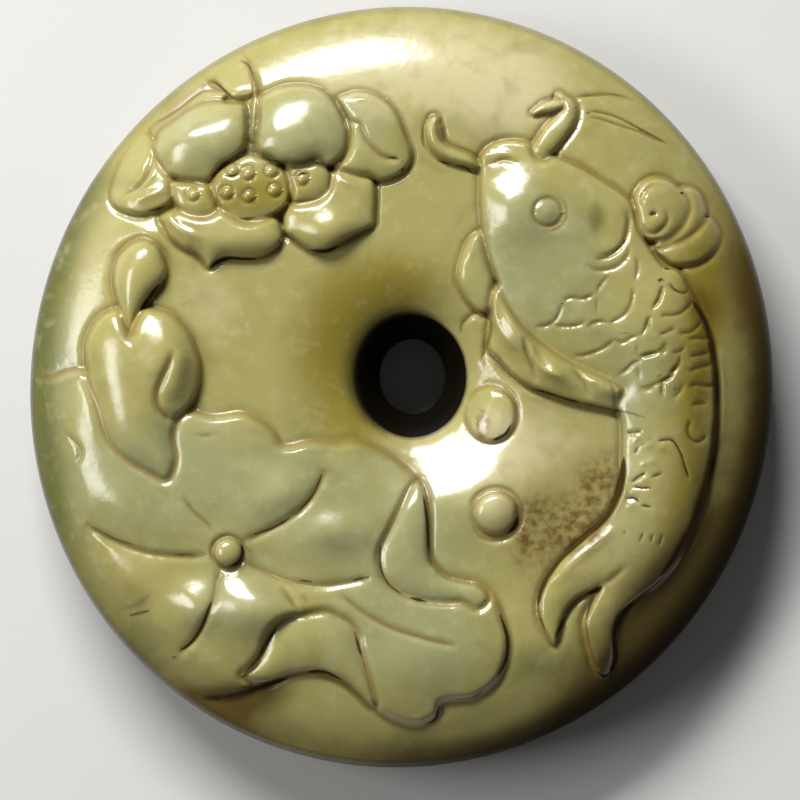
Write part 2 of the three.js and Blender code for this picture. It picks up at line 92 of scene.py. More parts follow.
def turned(xy: Array, centre: Place, radii: Place, turn: float) -> tuple[Array, Array]:
    """Gives points in the frame of a turned oval.

    Args:
        xy: the points.
        centre: middle of the oval.
        radii: its half-lengths.
        turn: how far it is turned, in degrees.

    Returns:
        How far each point lies along the two axes, as a share of the half-lengths.
    """
    c, s = math.cos(math.radians(turn)), math.sin(math.radians(turn))
    dx, dy = xy[:, 0] - centre[0], xy[:, 1] - centre[1]
    return (dx * c + dy * s) / radii[0], (dy * c - dx * s) / radii[1]


def smooth(places: Sequence[Place], closed: bool) -> Array:
    """Draws a smooth curve through places.

    Args:
        places: x and y, and a width where the curve is a band.
        closed: whether the last place joins the first.

    Returns:
        One row for each point of the curve.
    """
    p = np.asarray(places, float)
    if closed:
        q = np.vstack([p[-1], p, p[0], p[1]])
    else:
        q = np.vstack([2 * p[0] - p[1], p, 2 * p[-1] - p[-2]])
    rows = []
    for a, b, c, d in zip(q, q[1:], q[2:], q[3:]):
        count = max(2, math.ceil(math.hypot(*(c - b)[:2]) / CURVE_STEP))
        t = (np.arange(count) / count)[:, None]
        cubic = 3 * b - 3 * c + d - a
        rows.append(0.5 * (2 * b + (c - a) * t + (2 * a - 5 * b + 4 * c - d) * t**2 + cubic * t**3))
    if not closed:
        rows.append(p[-1:])
    return np.vstack(rows)


@dataclass
class Nearest:
    """Where on a line each point comes nearest: distance, run along it and local width; and its length."""

    far: Array
    along: Array
    width: Array
    total: float

    def ends(self, fade: float) -> Array:
        """Falls from 1 to 0 over the last stretch before each end of the line."""
        return np.clip(np.minimum(self.along, self.total - self.along) / fade, 0.0, 1.0)


def nearest(line: Array, closed: bool, xy: Array) -> Nearest:
    """Finds for each point the nearest place on a line.

    Args:
        line: points of the line, with widths where it is a band.
        closed: whether the line closes on itself.
        xy: the points asked about.

    Returns:
        Distances, runs along the line and widths, and the line's length.
    """
    ends = np.roll(line, -1, axis=0) if closed else line[1:]
    best = np.full(len(xy), np.inf)
    along, width = np.zeros(len(xy)), np.zeros(len(xy))
    run = 0.0
    for a, b in zip(line, ends):
        u = b[:2] - a[:2]
        length = math.hypot(u[0], u[1]) + TINY
        rx, ry = xy[:, 0] - a[0], xy[:, 1] - a[1]
        t = np.clip((rx * u[0] + ry * u[1]) / length**2, 0.0, 1.0)
        square = (rx - t * u[0]) ** 2 + (ry - t * u[1]) ** 2
        near = square < best
        best[near] = square[near]
        along[near] = run + t[near] * length
        if line.shape[1] > 2:
            width[near] = (a[2] + t * (b[2] - a[2]))[near]
        run += length
    return Nearest(np.sqrt(best), along, width, run)


def within(line: Array, xy: Array) -> Array:
    """Tells which points lie inside a closed line.

    Args:
        line: points of the line.
        xy: the points asked about.

    Returns:
        True for each point inside.
    """
    inside = np.zeros(len(xy), bool)
    for (x0, y0), (x1, y1) in zip(line[:, :2], np.roll(line[:, :2], -1, axis=0)):
        if y0 != y1:
            crossed = (y0 > xy[:, 1]) != (y1 > xy[:, 1])
            inside ^= crossed & (xy[:, 0] < (x1 - x0) * (xy[:, 1] - y0) / (y1 - y0) + x0)
    return inside


def soft_depth(line: Array, xy: Array) -> Array:
    """Measures depth inside a closed line, without the creases that the plain distance has in the middle.

    Args:
        line: points of the line.
        xy: points inside it.

    Returns:
        Depth of each point, near the distance to the edge close to it and smaller further in.
    """
    pull = np.zeros(len(xy))
    for a, b in zip(line[:, :2], np.roll(line[:, :2], -1, axis=0)):
        length = math.hypot(*(b - a)) + TINY
        u = (b - a) / length
        start = (a[0] - xy[:, 0]) * u[0] + (a[1] - xy[:, 1]) * u[1]
        off = ((a[0] - xy[:, 0]) * u[1] - (a[1] - xy[:, 1]) * u[0]) ** 2 + DEPTH_SOFTENING
        stop = start + length
        pull += (stop / np.sqrt(off + stop**2) - start / np.sqrt(off + start**2)) / off
    return np.sqrt(2.0 / np.maximum(pull, TINY))


# ---- outlines ---------------------------------------------------------------------------------------


class Shape(Protocol):
    """The outline of a carved form."""

    @property
    def line(self) -> Array:
        """Points round or along the form."""

    def measure(self, xy: Array) -> tuple[Array, Array]:
        """Signed distance inside the edge, and depth inside for the crown."""


class Outline:
    """A closed smooth outline through a few places."""

    def __init__(self, *places: Place) -> None:
        """Keeps the places."""
        self.places = places

    @property
    def line(self) -> Array:
        """The smooth curve through the places."""
        return smooth(self.places, True)

    def measure(self, xy: Array) -> tuple[Array, Array]:
        """Measures how far points lie inside.

        Args:
            xy: the points.

        Returns:
            Signed distance inside the edge, and the soft depth.
        """
        line = self.line
        inside = within(line, xy)
        far = nearest(line, True, xy).far
        depth = np.zeros(len(xy))
        depth[inside] = soft_depth(line, xy[inside])
        return np.where(inside, far, -far), depth


@dataclass(frozen=True)
class Oval:
    """An oval."""

    centre: Place
    radii: Place

    @property
    def line(self) -> Array:
        """Two corners of a box that holds the oval."""
        reach, centre = max(self.radii), np.asarray(self.centre, float)
        return np.stack([centre - reach, centre + reach])

    def measure(self, xy: Array) -> tuple[Array, Array]:
        """Measures how far points lie inside.

        Args:
            xy: the points.

        Returns:
            Signed distance inside the edge, and the same as depth.
        """
        u, v = turned(xy, self.centre, self.radii, 0.0)
        k = np.hypot(u, v) + TINY
        edge = (1.0 - k) * k / (np.hypot(u / self.radii[0], v / self.radii[1]) + TINY)
        return edge, np.maximum(0.0, edge)


class Band:
    """A tapering band: places along its middle, each with its half-width."""

    def __init__(self, *stations: Place) -> None:
        """Keeps the places and half-widths."""
        self.stations = stations

    @property
    def line(self) -> Array:
        """The smooth middle line, with widths."""
        return smooth(self.stations, False)

    def measure(self, xy: Array) -> tuple[Array, Array]:
        """Measures how far points lie inside.

        Args:
            xy: the points.

        Returns:
            Signed distance inside the edge, and the same as depth.
        """
        near = nearest(self.line, False, xy)
        edge = near.width - near.far
        return edge, np.maximum(0.0, edge)


# ---- the face being carved, and the cuts made in it ---------------------------------------------------


@dataclass
class Face:
    """Points of the face with what the carving has done to each."""

    xy: Array
    height: Array = field(init=False)
    groove: Array = field(init=False)
    soil: Array = field(init=False)

    def __post_init__(self) -> None:
        """Starts from the plain face."""
        self.height, self.groove, self.soil = (np.zeros(len(self.xy)) for _ in range(3))

    def near(self, line: Array, margin: float) -> Array:
        """Indices of the points within a margin of a line's box."""
        low, high = line[:, :2].min(0) - margin, line[:, :2].max(0) + margin
        return np.flatnonzero(np.all((self.xy > low) & (self.xy < high), axis=1))


class Cut(Protocol):
    """One working of the carver's wheel."""

    def apply(self, face: Face) -> None:
        """Changes the face."""


@dataclass(frozen=True)
class Patch:
    """A soft-edged oval, such as a stain in the stone."""

    centre: Place
    radii: Place
    turn: float = 0.0
    strength: float = 1.0

    def over(self, xy: Array) -> Array:
        """Strength at points."""
        u, v = turned(xy, self.centre, self.radii, self.turn)
        return self.strength * np.exp(-(u * u + v * v))


class Swell(Patch):
    """A broad soft rise as high as its strength, or a hollow where that is negative."""

    def apply(self, face: Face) -> None:
        """Raises or sinks the face."""
        face.height += self.over(face.xy)


@dataclass(frozen=True)
class Pad:
    """A raised form: its edge stands `lift` up and its middle `crown` more, with a cut round it."""

    shape: Shape
    lift: float
    crown: float
    shoulder: float
    cut: float = 0.24
    width: float = 0.26
    bevel: float = 0.2
    tops: tuple[Swell, ...] = ()
    tilt: Place = (0.0, 0.0)

    def apply(self, face: Face) -> None:
        """Raises the form and cuts round it.

        Args:
            face: the face, which is changed.
        """
        line = self.shape.line
        extra = float(line[:, 2].max()) if line.shape[1] > 2 else 0.0
        at = face.near(line, PAD_REACH + extra)
        if not len(at):
            return
        edge, depth = self.shape.measure(face.xy[at])
        dome = 1.0 - (1.0 - np.clip(depth / self.shoulder, 0.0, 1.0)) ** 2
        over = ease(-self.bevel, self.bevel, edge)
        rise = self.lift + self.crown * dome + sum(top.over(face.xy[at]) for top in self.tops)
        rise = rise + (face.xy[at] - line[:, :2].mean(0)) @ np.array(self.tilt)
        trench = np.exp(-(((edge + TRENCH_OFFSET * self.width) / self.width) ** 2))
        face.height[at] = face.height[at] * (1 - over) + rise * over - self.cut * trench
        thin = np.exp(-(((edge + LINE_OFFSET * self.width) / (PAD_LINE * self.width)) ** 2))
        face.groove[at] = np.maximum(face.groove[at] * (1 - over), thin)
        face.soil[at] *= 1 - over


@dataclass(frozen=True)
class Stroke:
    """A cut along a path that fades at both ends, or a raised thread where the depth is negative."""

    path: Path
    depth: float = 0.3
    width: float = 0.2
    soil: float = 0.3
    fade: float = 1.0

    def apply(self, face: Face) -> None:
        """Cuts along the path; a broad hollow leaves no line of its own.

        Args:
            face: the face, which is changed.
        """
        line = smooth(self.path, False)
        at = face.near(line, STROKE_REACH * self.width)
        if not len(at):
            return
        near = nearest(line, False, face.xy[at])
        ends = near.ends(self.fade) ** STROKE_ENDS
        face.height[at] -= self.depth * ends * np.exp(-((near.far / self.width) ** 2))
        if 0 < self.depth and self.width < HOLLOW_WIDTH:
            mark = ends * np.exp(-((near.far / (STROKE_LINE * self.width)) ** 2))
            face.groove[at] = np.maximum(face.groove[at], mark)
            face.soil[at] = np.maximum(face.soil[at], mark * self.soil)


@dataclass(frozen=True)
class Deposit:
    """Old soil left along a cut: colour alone, with its half-width at each place, thinner at both ends."""

    path: Path
    strength: float = 1.0
    fade: float = 0.5
    thinnest: float = 0.05
    end_share: float = 0.35

    def apply(self, face: Face) -> None:
        """Darkens the face along the path.

        Args:
            face: the face, which is changed.
        """
        line = smooth(self.path, False)
        at = face.near(line, DEPOSIT_REACH)
        near = nearest(line, False, face.xy[at])
        ends = near.ends(self.fade)
        width = np.maximum(self.thinnest, near.width * (self.end_share + (1 - self.end_share) * ends))
        mark = self.strength * np.exp(-((near.far / width) ** 2))
        face.soil[at] = np.maximum(face.soil[at], mark)


def deposits(*marks: tuple[float, Path]) -> list[Cut]:
    """Deposits of old soil, each given as its strength and its path."""
    return [Deposit(path, strength) for strength, path in marks]


def arc(centre: Place, radius: float, start: float, stop: float) -> Path:
    """Places along part of a circle, between two angles in degrees."""
    angles = np.radians(np.linspace(start, stop, max(4, int(abs(stop - start) / ARC_STEP))))
    return tuple((centre[0] + radius * math.cos(a), centre[1] + radius * math.sin(a)) for a in angles)


# ---- the carving, figure by figure ------------------------------------------------------------------


@dataclass(frozen=True)
class LotusLeaf:
    """The broad lotus leaf that fills the lower left, with its knob, veins and turned-over edges."""

    lift: float = 0.55
    crown: float = 0.35
    vein_depth: float = 0.22
    vein_width: float = 0.34
    valley_depth: float = 0.3
    valley_width: float = 1.5
    knob: Place = (-13.3, -12.7)
    knob_radius: float = 1.08
    veins: tuple[Path, ...] = (
        ((-24.4, -10.5), (-22.4, -11.75), (-19.5, -12.75), (-16.5, -13.05), (-14.8, -12.95)),
        ((-13.9, -13.7), (-14.15, -15), (-14.5, -16.6), (-15.3, -18.4), (-16.2, -19.7), (-17.4, -20.8)),
        ((-12.2, -13.4), (-10, -14.4), (-8, -15.05), (-5.8, -15.25), (-4, -15.0), (-2.3, -14.65)),
        ((-12.3, -11.9), (-11, -11.4), (-9.5, -10.65), (-7.7, -9.45), (-6.5, -7.9), (-5.8, -6.3)),
    )

    def turned_edges(self) -> list[Cut]:
        """The arched fold at the bottom and the lobe that turns over on the right.

        Returns:
            The cuts, from the bottom up.
        """
        arch = Outline(
            (-12.2, -22.3), (-11.4, -21.5), (-10.7, -20.5), (-10.3, -19.3), (-9.7, -18.4), (-8.8, -17.8),
            (-7.8, -17.5), (-6.8, -17.35), (-5.7, -17.3), (-4.8, -17.7), (-4, -18.2), (-3.4, -19.1),
            (-3.2, -20.2), (-2.9, -21.3), (-2.3, -23.3), (-2.1, -24.6), (-3.2, -23.6), (-4.2, -22.7),
            (-5.5, -22.1), (-6.8, -21.85), (-8.5, -22.1), (-10.5, -22.8),
        )
        lobe = Outline(
            (1.1, -7.4), (1.9, -8.9), (2.05, -12.9), (2.6, -14), (3.6, -14.8), (5.9, -15.4), (6.6, -16.3),
            (5.9, -17.0), (4.7, -16.5), (3.5, -16.5), (2, -16.4), (0.7, -16.1), (-0.3, -15.6), (-1.1, -14.9),
            (-1.5, -14), (-1.6, -12.6), (-0.5, -10.3),
        )
        return [
            Pad(arch, 0.6, 0.55, 2.2, width=0.3, bevel=0.28),
            Pad(lobe, 0.55, 0.45, 1.8, cut=0.26),
            Stroke(
                ((-4.7, -15.8), (-3.2, -17.1), (-1.6, -18.1), (0, -18.8), (2.4, -19.5), (4.4, -19.9)),
                0.2, 0.3,
            ),
            Stroke(((-9.3, -15.3), (-8.6, -16.2), (-8, -17.0), (-7.7, -17.3)), 0.22, 0.3),
            Stroke(((-7.6, -15.9), (-7, -16.8)), 0.14, 0.25),
        ]

    def soiling(self) -> list[Cut]:
        """Where soil has stayed in the cuts of the leaf.

        Returns:
            The cuts, from the bottom up.
        """
        thin, broad = 0.13, 0.22
        return deposits(
            (1.0, ((-12.3, -12.1, thin), (-12.2, -12.8, thin), (-12.6, -13.5, thin), (-13.2, -13.75, 0.1))),
            (0.6, ((-23.8, -10.75, 0.1), (-22, -11.7, 0.12), (-20.5, -12.15, 0.1))),
            (0.6, ((-17.5, -12.9, 0.1), (-16, -12.85, 0.12))),
            (1.0, ((-14.6, -16.5, 0.1), (-15.25, -18.3, 0.16), (-16.1, -19.6, 0.14), (-17, -20.3, 0.1))),
            (0.8, ((-17.3, -20.8, 0.12), (-17.6, -20.8, 0.1))),
            (0.8, ((-7.8, -14.85, 0.1), (-6.9, -14.95, 0.1))),
            (0.9, ((-3.7, -14.85, 0.1), (-2.5, -14.6, 0.11))),
            (0.9, ((-11.2, -11.3, 0.1), (-9.8, -10.8, 0.12), (-8.6, -10.1, 0.1))),
            (0.9, ((-8.1, -9.8, 0.08), (-6.8, -8.3, 0.12), (-6.1, -6.7, 0.1))),
            (0.75, ((-1.6, -12.2, 0.12), (-1.6, -13.8, 0.12), (-1.0, -15.1, 0.12), (0, -15.9, 0.1))),
            (1.0, ((0.7, -16.2, 0.12), (1.3, -16.35, 0.15), (1.9, -16.5, 0.1))),
            (0.95, ((-9.6, -18.5, thin), (-10.4, -19.9, broad), (-11.2, -21.3, 0.3), (-12.3, -22.4, 0.2))),
            (0.9, ((-3.6, -18.8, 0.1), (-3.2, -20.2, 0.14), (-3.0, -20.8, 0.1))),
            (0.5, ((-3, -20.8, 0.12), (-2.6, -22.4, 0.12), (-2.3, -23.5, 0.12))),
            (0.9, ((-15.8, -24.1, 0.3), (-14, -23.95, 0.35), (-12, -23.5, 0.4), (-10.2, -22.9, 0.3),
                   (-8.8, -22.4, 0.2))),
            (1.0, ((-7.2, -21.95, 0.12), (-6.4, -21.85, 0.2), (-5.6, -22, 0.15), (-4.6, -22.5, 0.08))),
            (0.8, ((1.7, -8.4, 0.1), (2.0, -10.5, 0.13), (2.1, -12.7, 0.14))),
            (0.5, ((5.2, -24, 0.1), (6.2, -23.7, 0.1))),
            (0.8, ((2.9, -24.6, 0.14), (2.6, -25.6, 0.14), (1.8, -26, 0.1))),
            (0.6, ((-20.9, -17.6, 0.25), (-19.3, -17.2, 0.15))),
            (0.35, ((-21.8, -17.2, 0.2), (-20.4, -16.8, 0.4), (-19.2, -15.8, 0.25))),
            (0.55, ((-17.5, -24.0, 0.3), (-14.5, -24.1, 0.6), (-12, -23.7, 0.65), (-9.8, -23, 0.3))),
            (1.0, ((7.6, -17.5, 0.08), (8.15, -19.3, 0.17), (8.05, -20.9, 0.15), (7.4, -22.3, 0.1))),
            (0.5, ((6.5, -23.2, 0.1), (5.4, -23.9, 0.1), (4.0, -24.1, 0.1))),
        )

    def cuts(self) -> list[Cut]:
        """Lists every cut of the figure.

        Returns:
            The cuts, from the bottom up.
        """
        blade = Outline(
            (-27, 0.6), (-25.4, 1.15), (-24, 1.1), (-20, 0), (-15.2, -2.2), (-12.5, -2.1), (-11.5, -2.4),
            (-10.5, -3), (-9.8, -3.7), (-9.3, -4.5), (-8.5, -4.6), (-7, -4.3), (-5, -4.45), (-3.5, -4.3),
            (-2, -4.8), (0, -6.1), (1.6, -8), (2, -10.4), (2.1, -12.9), (2.5, -13.9), (3.5, -14.7), (5, -15),
            (6, -15.2), (7, -16.2), (7.7, -17.8), (8.15, -20), (7.5, -22.4), (5.8, -23.8), (4.8, -24),
            (3.6, -24.1), (2.95, -24.4), (2.7, -25.3), (1.3, -26), (-0.5, -25.6), (-2.1, -24.6),
            (-3.2, -23.6), (-4.2, -22.7), (-5.5, -22.1), (-6.8, -21.85), (-8.5, -22.1), (-11.5, -23.2),
            (-13, -23.8), (-16, -24.2), (-20, -22), (-26, -15), (-29, -9), (-30, -4), (-29, 0),
        )
        valleys = [Stroke(vein, self.valley_depth, self.valley_width, fade=2.5) for vein in self.veins]
        veins = [Stroke(vein, self.vein_depth, self.vein_width) for vein in self.veins]
        return [
            Pad(blade, self.lift, self.crown, 5.0, cut=0.12, width=0.4, bevel=0.5),
            *valleys,
            Swell((-11.2, -17.2), (3.6, 2.2), -8, 1.25),
            Swell((-11.4, -13.5), (3.2, 1.5), -12, -0.5),
            Swell((-15.6, -17.3), (1.5, 1.7), -10, 0.65),
            Swell((-16.2, -14.4), (1.8, 1.2), 0, -0.35),
            Swell((-20.8, -16.9), (1.9, 1.1), 35, -0.3),
            Swell((-9.0, -8.4), (2.1, 1.9), 20, 0.65),
            Swell((-5, -11.1), (2.8, 1.4), 0, 0.65),
            Swell((-20.5, -9), (3.4, 1.9), -15, 0.25),
            Swell((1.5, -21), (4, 2.4), 20, 0.3),
            *veins,
            *self.turned_edges(),
            Stroke(((-16.9, -8.3), (-15.9, -9.6), (-15, -10.4), (-14.3, -11.2)), 0.1, 0.3),
            Stroke(((-26, -3.3), (-24.8, -4.7), (-24.8, -5.5), (-25.2, -6)), 0.16, 0.24),
            Stroke(((-16, -3.6), (-15, -3.75), (-14, -3.5)), 0.08, 0.25),
            Pad(Oval(self.knob, (self.knob_radius, self.knob_radius)), 1.2, 0.45, 1.0, cut=0.26, width=0.22),
            *self.soiling(),
        ]


@dataclass(frozen=True)
class SideLeaf:
    """The bulging folded leaf at the left edge with the closed bud standing on it."""

    lift: float = 0.9
    crown: float = 1.1
    bud_lift: float = 0.9
    bud_crown: float = 1.0

    def cuts(self) -> list[Cut]:
        """Lists every cut of the figure.

        Returns:
            The cuts, from the bottom up.
        """
        body = Outline(
            (-21.6, 6), (-22.8, 5.6), (-23.6, 4.8), (-24.2, 3.4), (-24.2, 2), (-23.9, 0.4), (-23.3, -1.6),
            (-22.7, -3.4), (-21.9, -4.7), (-20.8, -5.7), (-19.4, -6.5), (-18, -7.05), (-17.4, -5.6),
            (-17.6, -3.8), (-17.2, -2.4), (-16.2, -1.4), (-15.6, 0), (-15.5, 1.6), (-15.8, 2.8),
            (-16.2, 3.8), (-16.9, 4.8), (-17.8, 5.6), (-19.8, 6.1),
        )
        bud = Outline(
            (-20, 11.3), (-21.4, 10.5), (-22.05, 9.2), (-22.1, 7.8), (-21.8, 6.5), (-21.4, 5.4), (-20.9, 4),
            (-20.5, 4.9), (-20.1, 5.8), (-19.4, 6.9), (-18.6, 7.8), (-18.1, 8.6), (-18.2, 9.6),
            (-18.8, 10.8),
        )
        fold = (
            (-17.5, 2.9), (-17.8, 1.7), (-18.3, 0.6), (-18.7, -0.5), (-18.6, -1.6), (-17.9, -2.4),
            (-17.1, -2.6),
        )
        return [
            Swell((-19.2, 11.4), (1.7, 1.1), 0, 0.35),
            Swell((-23.4, -1.2), (1.6, 2.6), 0, 0.3),
            Pad(body, self.lift, self.crown, 3.6, cut=0.2, width=0.32, bevel=0.3),
            Swell((-17.9, 2.3), (1.8, 2.4), 0, 0.7),
            Stroke(fold, 0.3, 0.34),
            Stroke(((-16.8, 3.2), (-16.9, 1.6), (-17.2, 0.2), (-17.2, -1)), -0.2, 0.7),
            Pad(bud, self.bud_lift, self.bud_crown, 1.7, width=0.3),
            Stroke(((-21.4, 5.4), (-20.9, 4.2), (-20.8, 3)), 0.16, 0.3),
            Deposit(((-20.1, 5.8, 0.16), (-19.6, 6.6, 0.13), (-19, 7.4, 0.16), (-18.6, 7.9, 0.1)), 0.85),
            Deposit(((-17.9, -2.3, 0.15), (-17.2, -2.6, 0.12)), 0.4),
        ]


@dataclass(frozen=True)
class LotusFlower:
    """The open lotus flower: two domed petals, curled petals round them and the seed pod."""

    dome_lift: float = 0.7
    dome_crown: float = 0.55
    seed_radius: float = 0.55
    seeds: Path = (
        (-13, 16.65), (-11.75, 16.4), (-9.95, 16.6), (-11.7, 14.65), (-9.7, 15.1), (-13.4, 14.9), (-7.6, 16),
        (-16, 14.8),
    )

    def side_petals(self) -> list[Cut]:
        """The petals that curl away behind, drawn first.

        Returns:
            The cuts, from the bottom up.
        """
        left = Outline(
            (-20, 19.6), (-21, 18.5), (-21.7, 17.2), (-22.2, 15.7), (-22.4, 14.8), (-22.1, 14),
            (-21.3, 13.5), (-20.2, 13.25), (-19, 13.5), (-18.1, 13.9), (-17.4, 14.6), (-17.4, 16.2),
            (-18.8, 18.8),
        )
        upper = Outline(
            (-15.2, 24.3), (-14, 25.3), (-12.8, 26.1), (-11.8, 24.8), (-11.3, 22.6), (-13.4, 22.3),
        )
        lip = Outline(
            (-19.3, 20), (-18, 20.8), (-17, 21.4), (-16, 22.2), (-15, 22.75), (-13.7, 22.6), (-13.8, 21.8),
            (-15.2, 21.2), (-17.4, 20.2), (-18.9, 19.2),
        )
        right = Outline(
            (-4.8, 22.1), (-4.1, 22.5), (-3.3, 22.7), (-2.2, 22.5), (-1.3, 22), (-0.6, 21.3), (-0.1, 20.4),
            (0.3, 19.3), (0.7, 18.4), (0.8, 17.6), (0.5, 16.9), (0, 16.4), (-0.8, 16.0), (-1.8, 15.85),
            (-2.4, 16), (-4, 15.9), (-5.3, 16.6), (-4.2, 18.6), (-4.2, 20.6),
        )
        return [
            Pad(left, 0.5, 0.45, 1.3, cut=0.2, bevel=0.3),
            Stroke(((-20.3, 18.9), (-21.2, 17.9), (-21.7, 16.7), (-22.2, 15.4)), -0.16, 0.22),
            Stroke(((-19.2, 18.3), (-19.3, 17), (-19.9, 15.8), (-20.6, 15.2), (-21.3, 14.9)), 0.26, 0.24),
            Stroke(((-19.7, 18.1), (-19.9, 17.2), (-20.5, 16.3)), -0.14, 0.24),
            Stroke(((-18.9, 16.9), (-19.5, 15.8), (-20.5, 15)), -0.14, 0.18),
            Stroke(((-18.0, 15.3), (-19.2, 14.8), (-20.7, 14.4)), -0.22, 0.34),
            Stroke(((-16, 24.15), (-15, 24.1), (-14.2, 23.6), (-13.4, 22.6)), 0.2, 0.24),
            Stroke(((-19.9, 20.3), (-18.7, 21), (-17.4, 22), (-16, 23), (-14.6, 23.4)), 0.22, 0.5),
            Pad(upper, 0.3, 0.5, 1.3, cut=0.14, bevel=0.3),
            Pad(lip, 0.35, 0.25, 0.8, cut=0.2, bevel=0.22),
            Pad(right, 0.55, 0.65, 2.0, cut=0.22, bevel=0.26),
            Stroke(
                ((-4.0, 22), (-2.5, 22.1), (-1.2, 21.5), (-0.5, 20.7), (0, 19.8), (0.4, 18.7)),
                -0.07, 0.16,
            ),
            Stroke(
                (
                    (-4.3, 21), (-3.8, 20.4), (-3.2, 20.1), (-2.6, 18.9), (-1.7, 17.9), (-0.9, 17.5),
                    (-0.1, 17.5),
                ),
                0.26, 0.25,
            ),
            Swell((-3.5, 18.2), (0.8, 1.3), 30, 0.18),
        ]

    def lower_petals(self) -> list[Cut]:
        """The two petals that spread below the seed pod.

        Returns:
            The cuts, from the bottom up.
        """
        left = Outline(
            (-18.3, 13.3), (-18.2, 12.3), (-17.7, 11.4), (-16.8, 10.7), (-15.8, 10.3), (-15.2, 9.7),
            (-14.8, 9.2), (-14.2, 9.6), (-13.5, 9.95), (-12.5, 9.9), (-11.2, 9.9), (-10.2, 10.2),
            (-9.4, 10.9), (-9.1, 11.8), (-9.6, 13), (-11, 14), (-15, 14.2),
        )
        right = Outline(
            (-2.1, 15.7), (-2.05, 13.3), (-2.2, 12.4), (-3.3, 11.8), (-4.6, 11.1), (-5.6, 10.55),
            (-6.5, 10.4), (-7.3, 10.7), (-8.2, 11.4), (-9, 12.1), (-8.6, 14.2), (-6, 16), (-5.4, 16.7),
            (-3.4, 16.2),
        )
        return [
            Pad(left, 0.5, 0.7, 1.7, cut=0.22, bevel=0.22, tops=(Swell((-12.4, 11.2), (3.4, 1.2), 0, 0.4),)),
            Stroke(((-17.9, 14), (-17.8, 13.1), (-17.3, 12.4), (-16.3, 11.8), (-15, 11.35)), -0.14, 0.3),
            Stroke(((-17.5, 13.8), (-17.3, 13.1), (-16.7, 12.5), (-15.8, 12.1)), 0.1, 0.3),
            Pad(right, 0.5, 0.5, 1.5, cut=0.22, bevel=0.22, tops=(Swell((-5.4, 11.9), (2, 1.8), 0, 0.9),)),
            Stroke(((-4.9, 16), (-4, 15.6), (-3.2, 15.2)), -0.14, 0.25),
        ]

    def pod(self) -> list[Cut]:
        """The seed pod in three parts, with its seeds sunk in rings.

        Returns:
            The cuts, from the bottom up.
        """
        left = Outline(
            (-17.5, 15.8), (-17.6, 15), (-17.4, 14.1), (-16.8, 13.5), (-16, 13.15), (-15, 13.1),
            (-14.3, 13.5), (-14, 14.6), (-14.6, 16), (-16, 15.9),
        )
        middle = Outline(
            (-14.6, 15.8), (-13.7, 17), (-12, 17.8), (-10.5, 17.6), (-9.3, 17), (-8.7, 16), (-8.6, 14.4),
            (-9.3, 13.5), (-10.5, 12.95), (-11.5, 12.7), (-12.4, 12.85), (-13.3, 13.4), (-14, 14),
        )
        right = Outline(
            (-8.9, 17), (-7.5, 17.2), (-6.4, 17.5), (-5.8, 17.2), (-5.5, 16.5), (-5.5, 15.6), (-5.8, 14.9),
            (-6.5, 14.4), (-7.5, 14.2), (-8.4, 14.3), (-8.8, 15.6),
        )
        r = self.seed_radius
        rings = [Stroke(arc(place, r, 0, 360), 0.12, 0.15, 0.0, 0.1) for place in self.seeds]
        return [
            Pad(left, 0.65, 0.45, 1.3, cut=0.16, bevel=0.26),
            Pad(right, 0.75, 0.45, 1.4, cut=0.2, bevel=0.24),
            Pad(middle, 0.8, 0.5, 2.2, cut=0.2, bevel=0.24),
            *rings,
            *(Swell(place, (0.7 * r, 0.7 * r), 0, 0.2) for place in self.seeds),
        ]

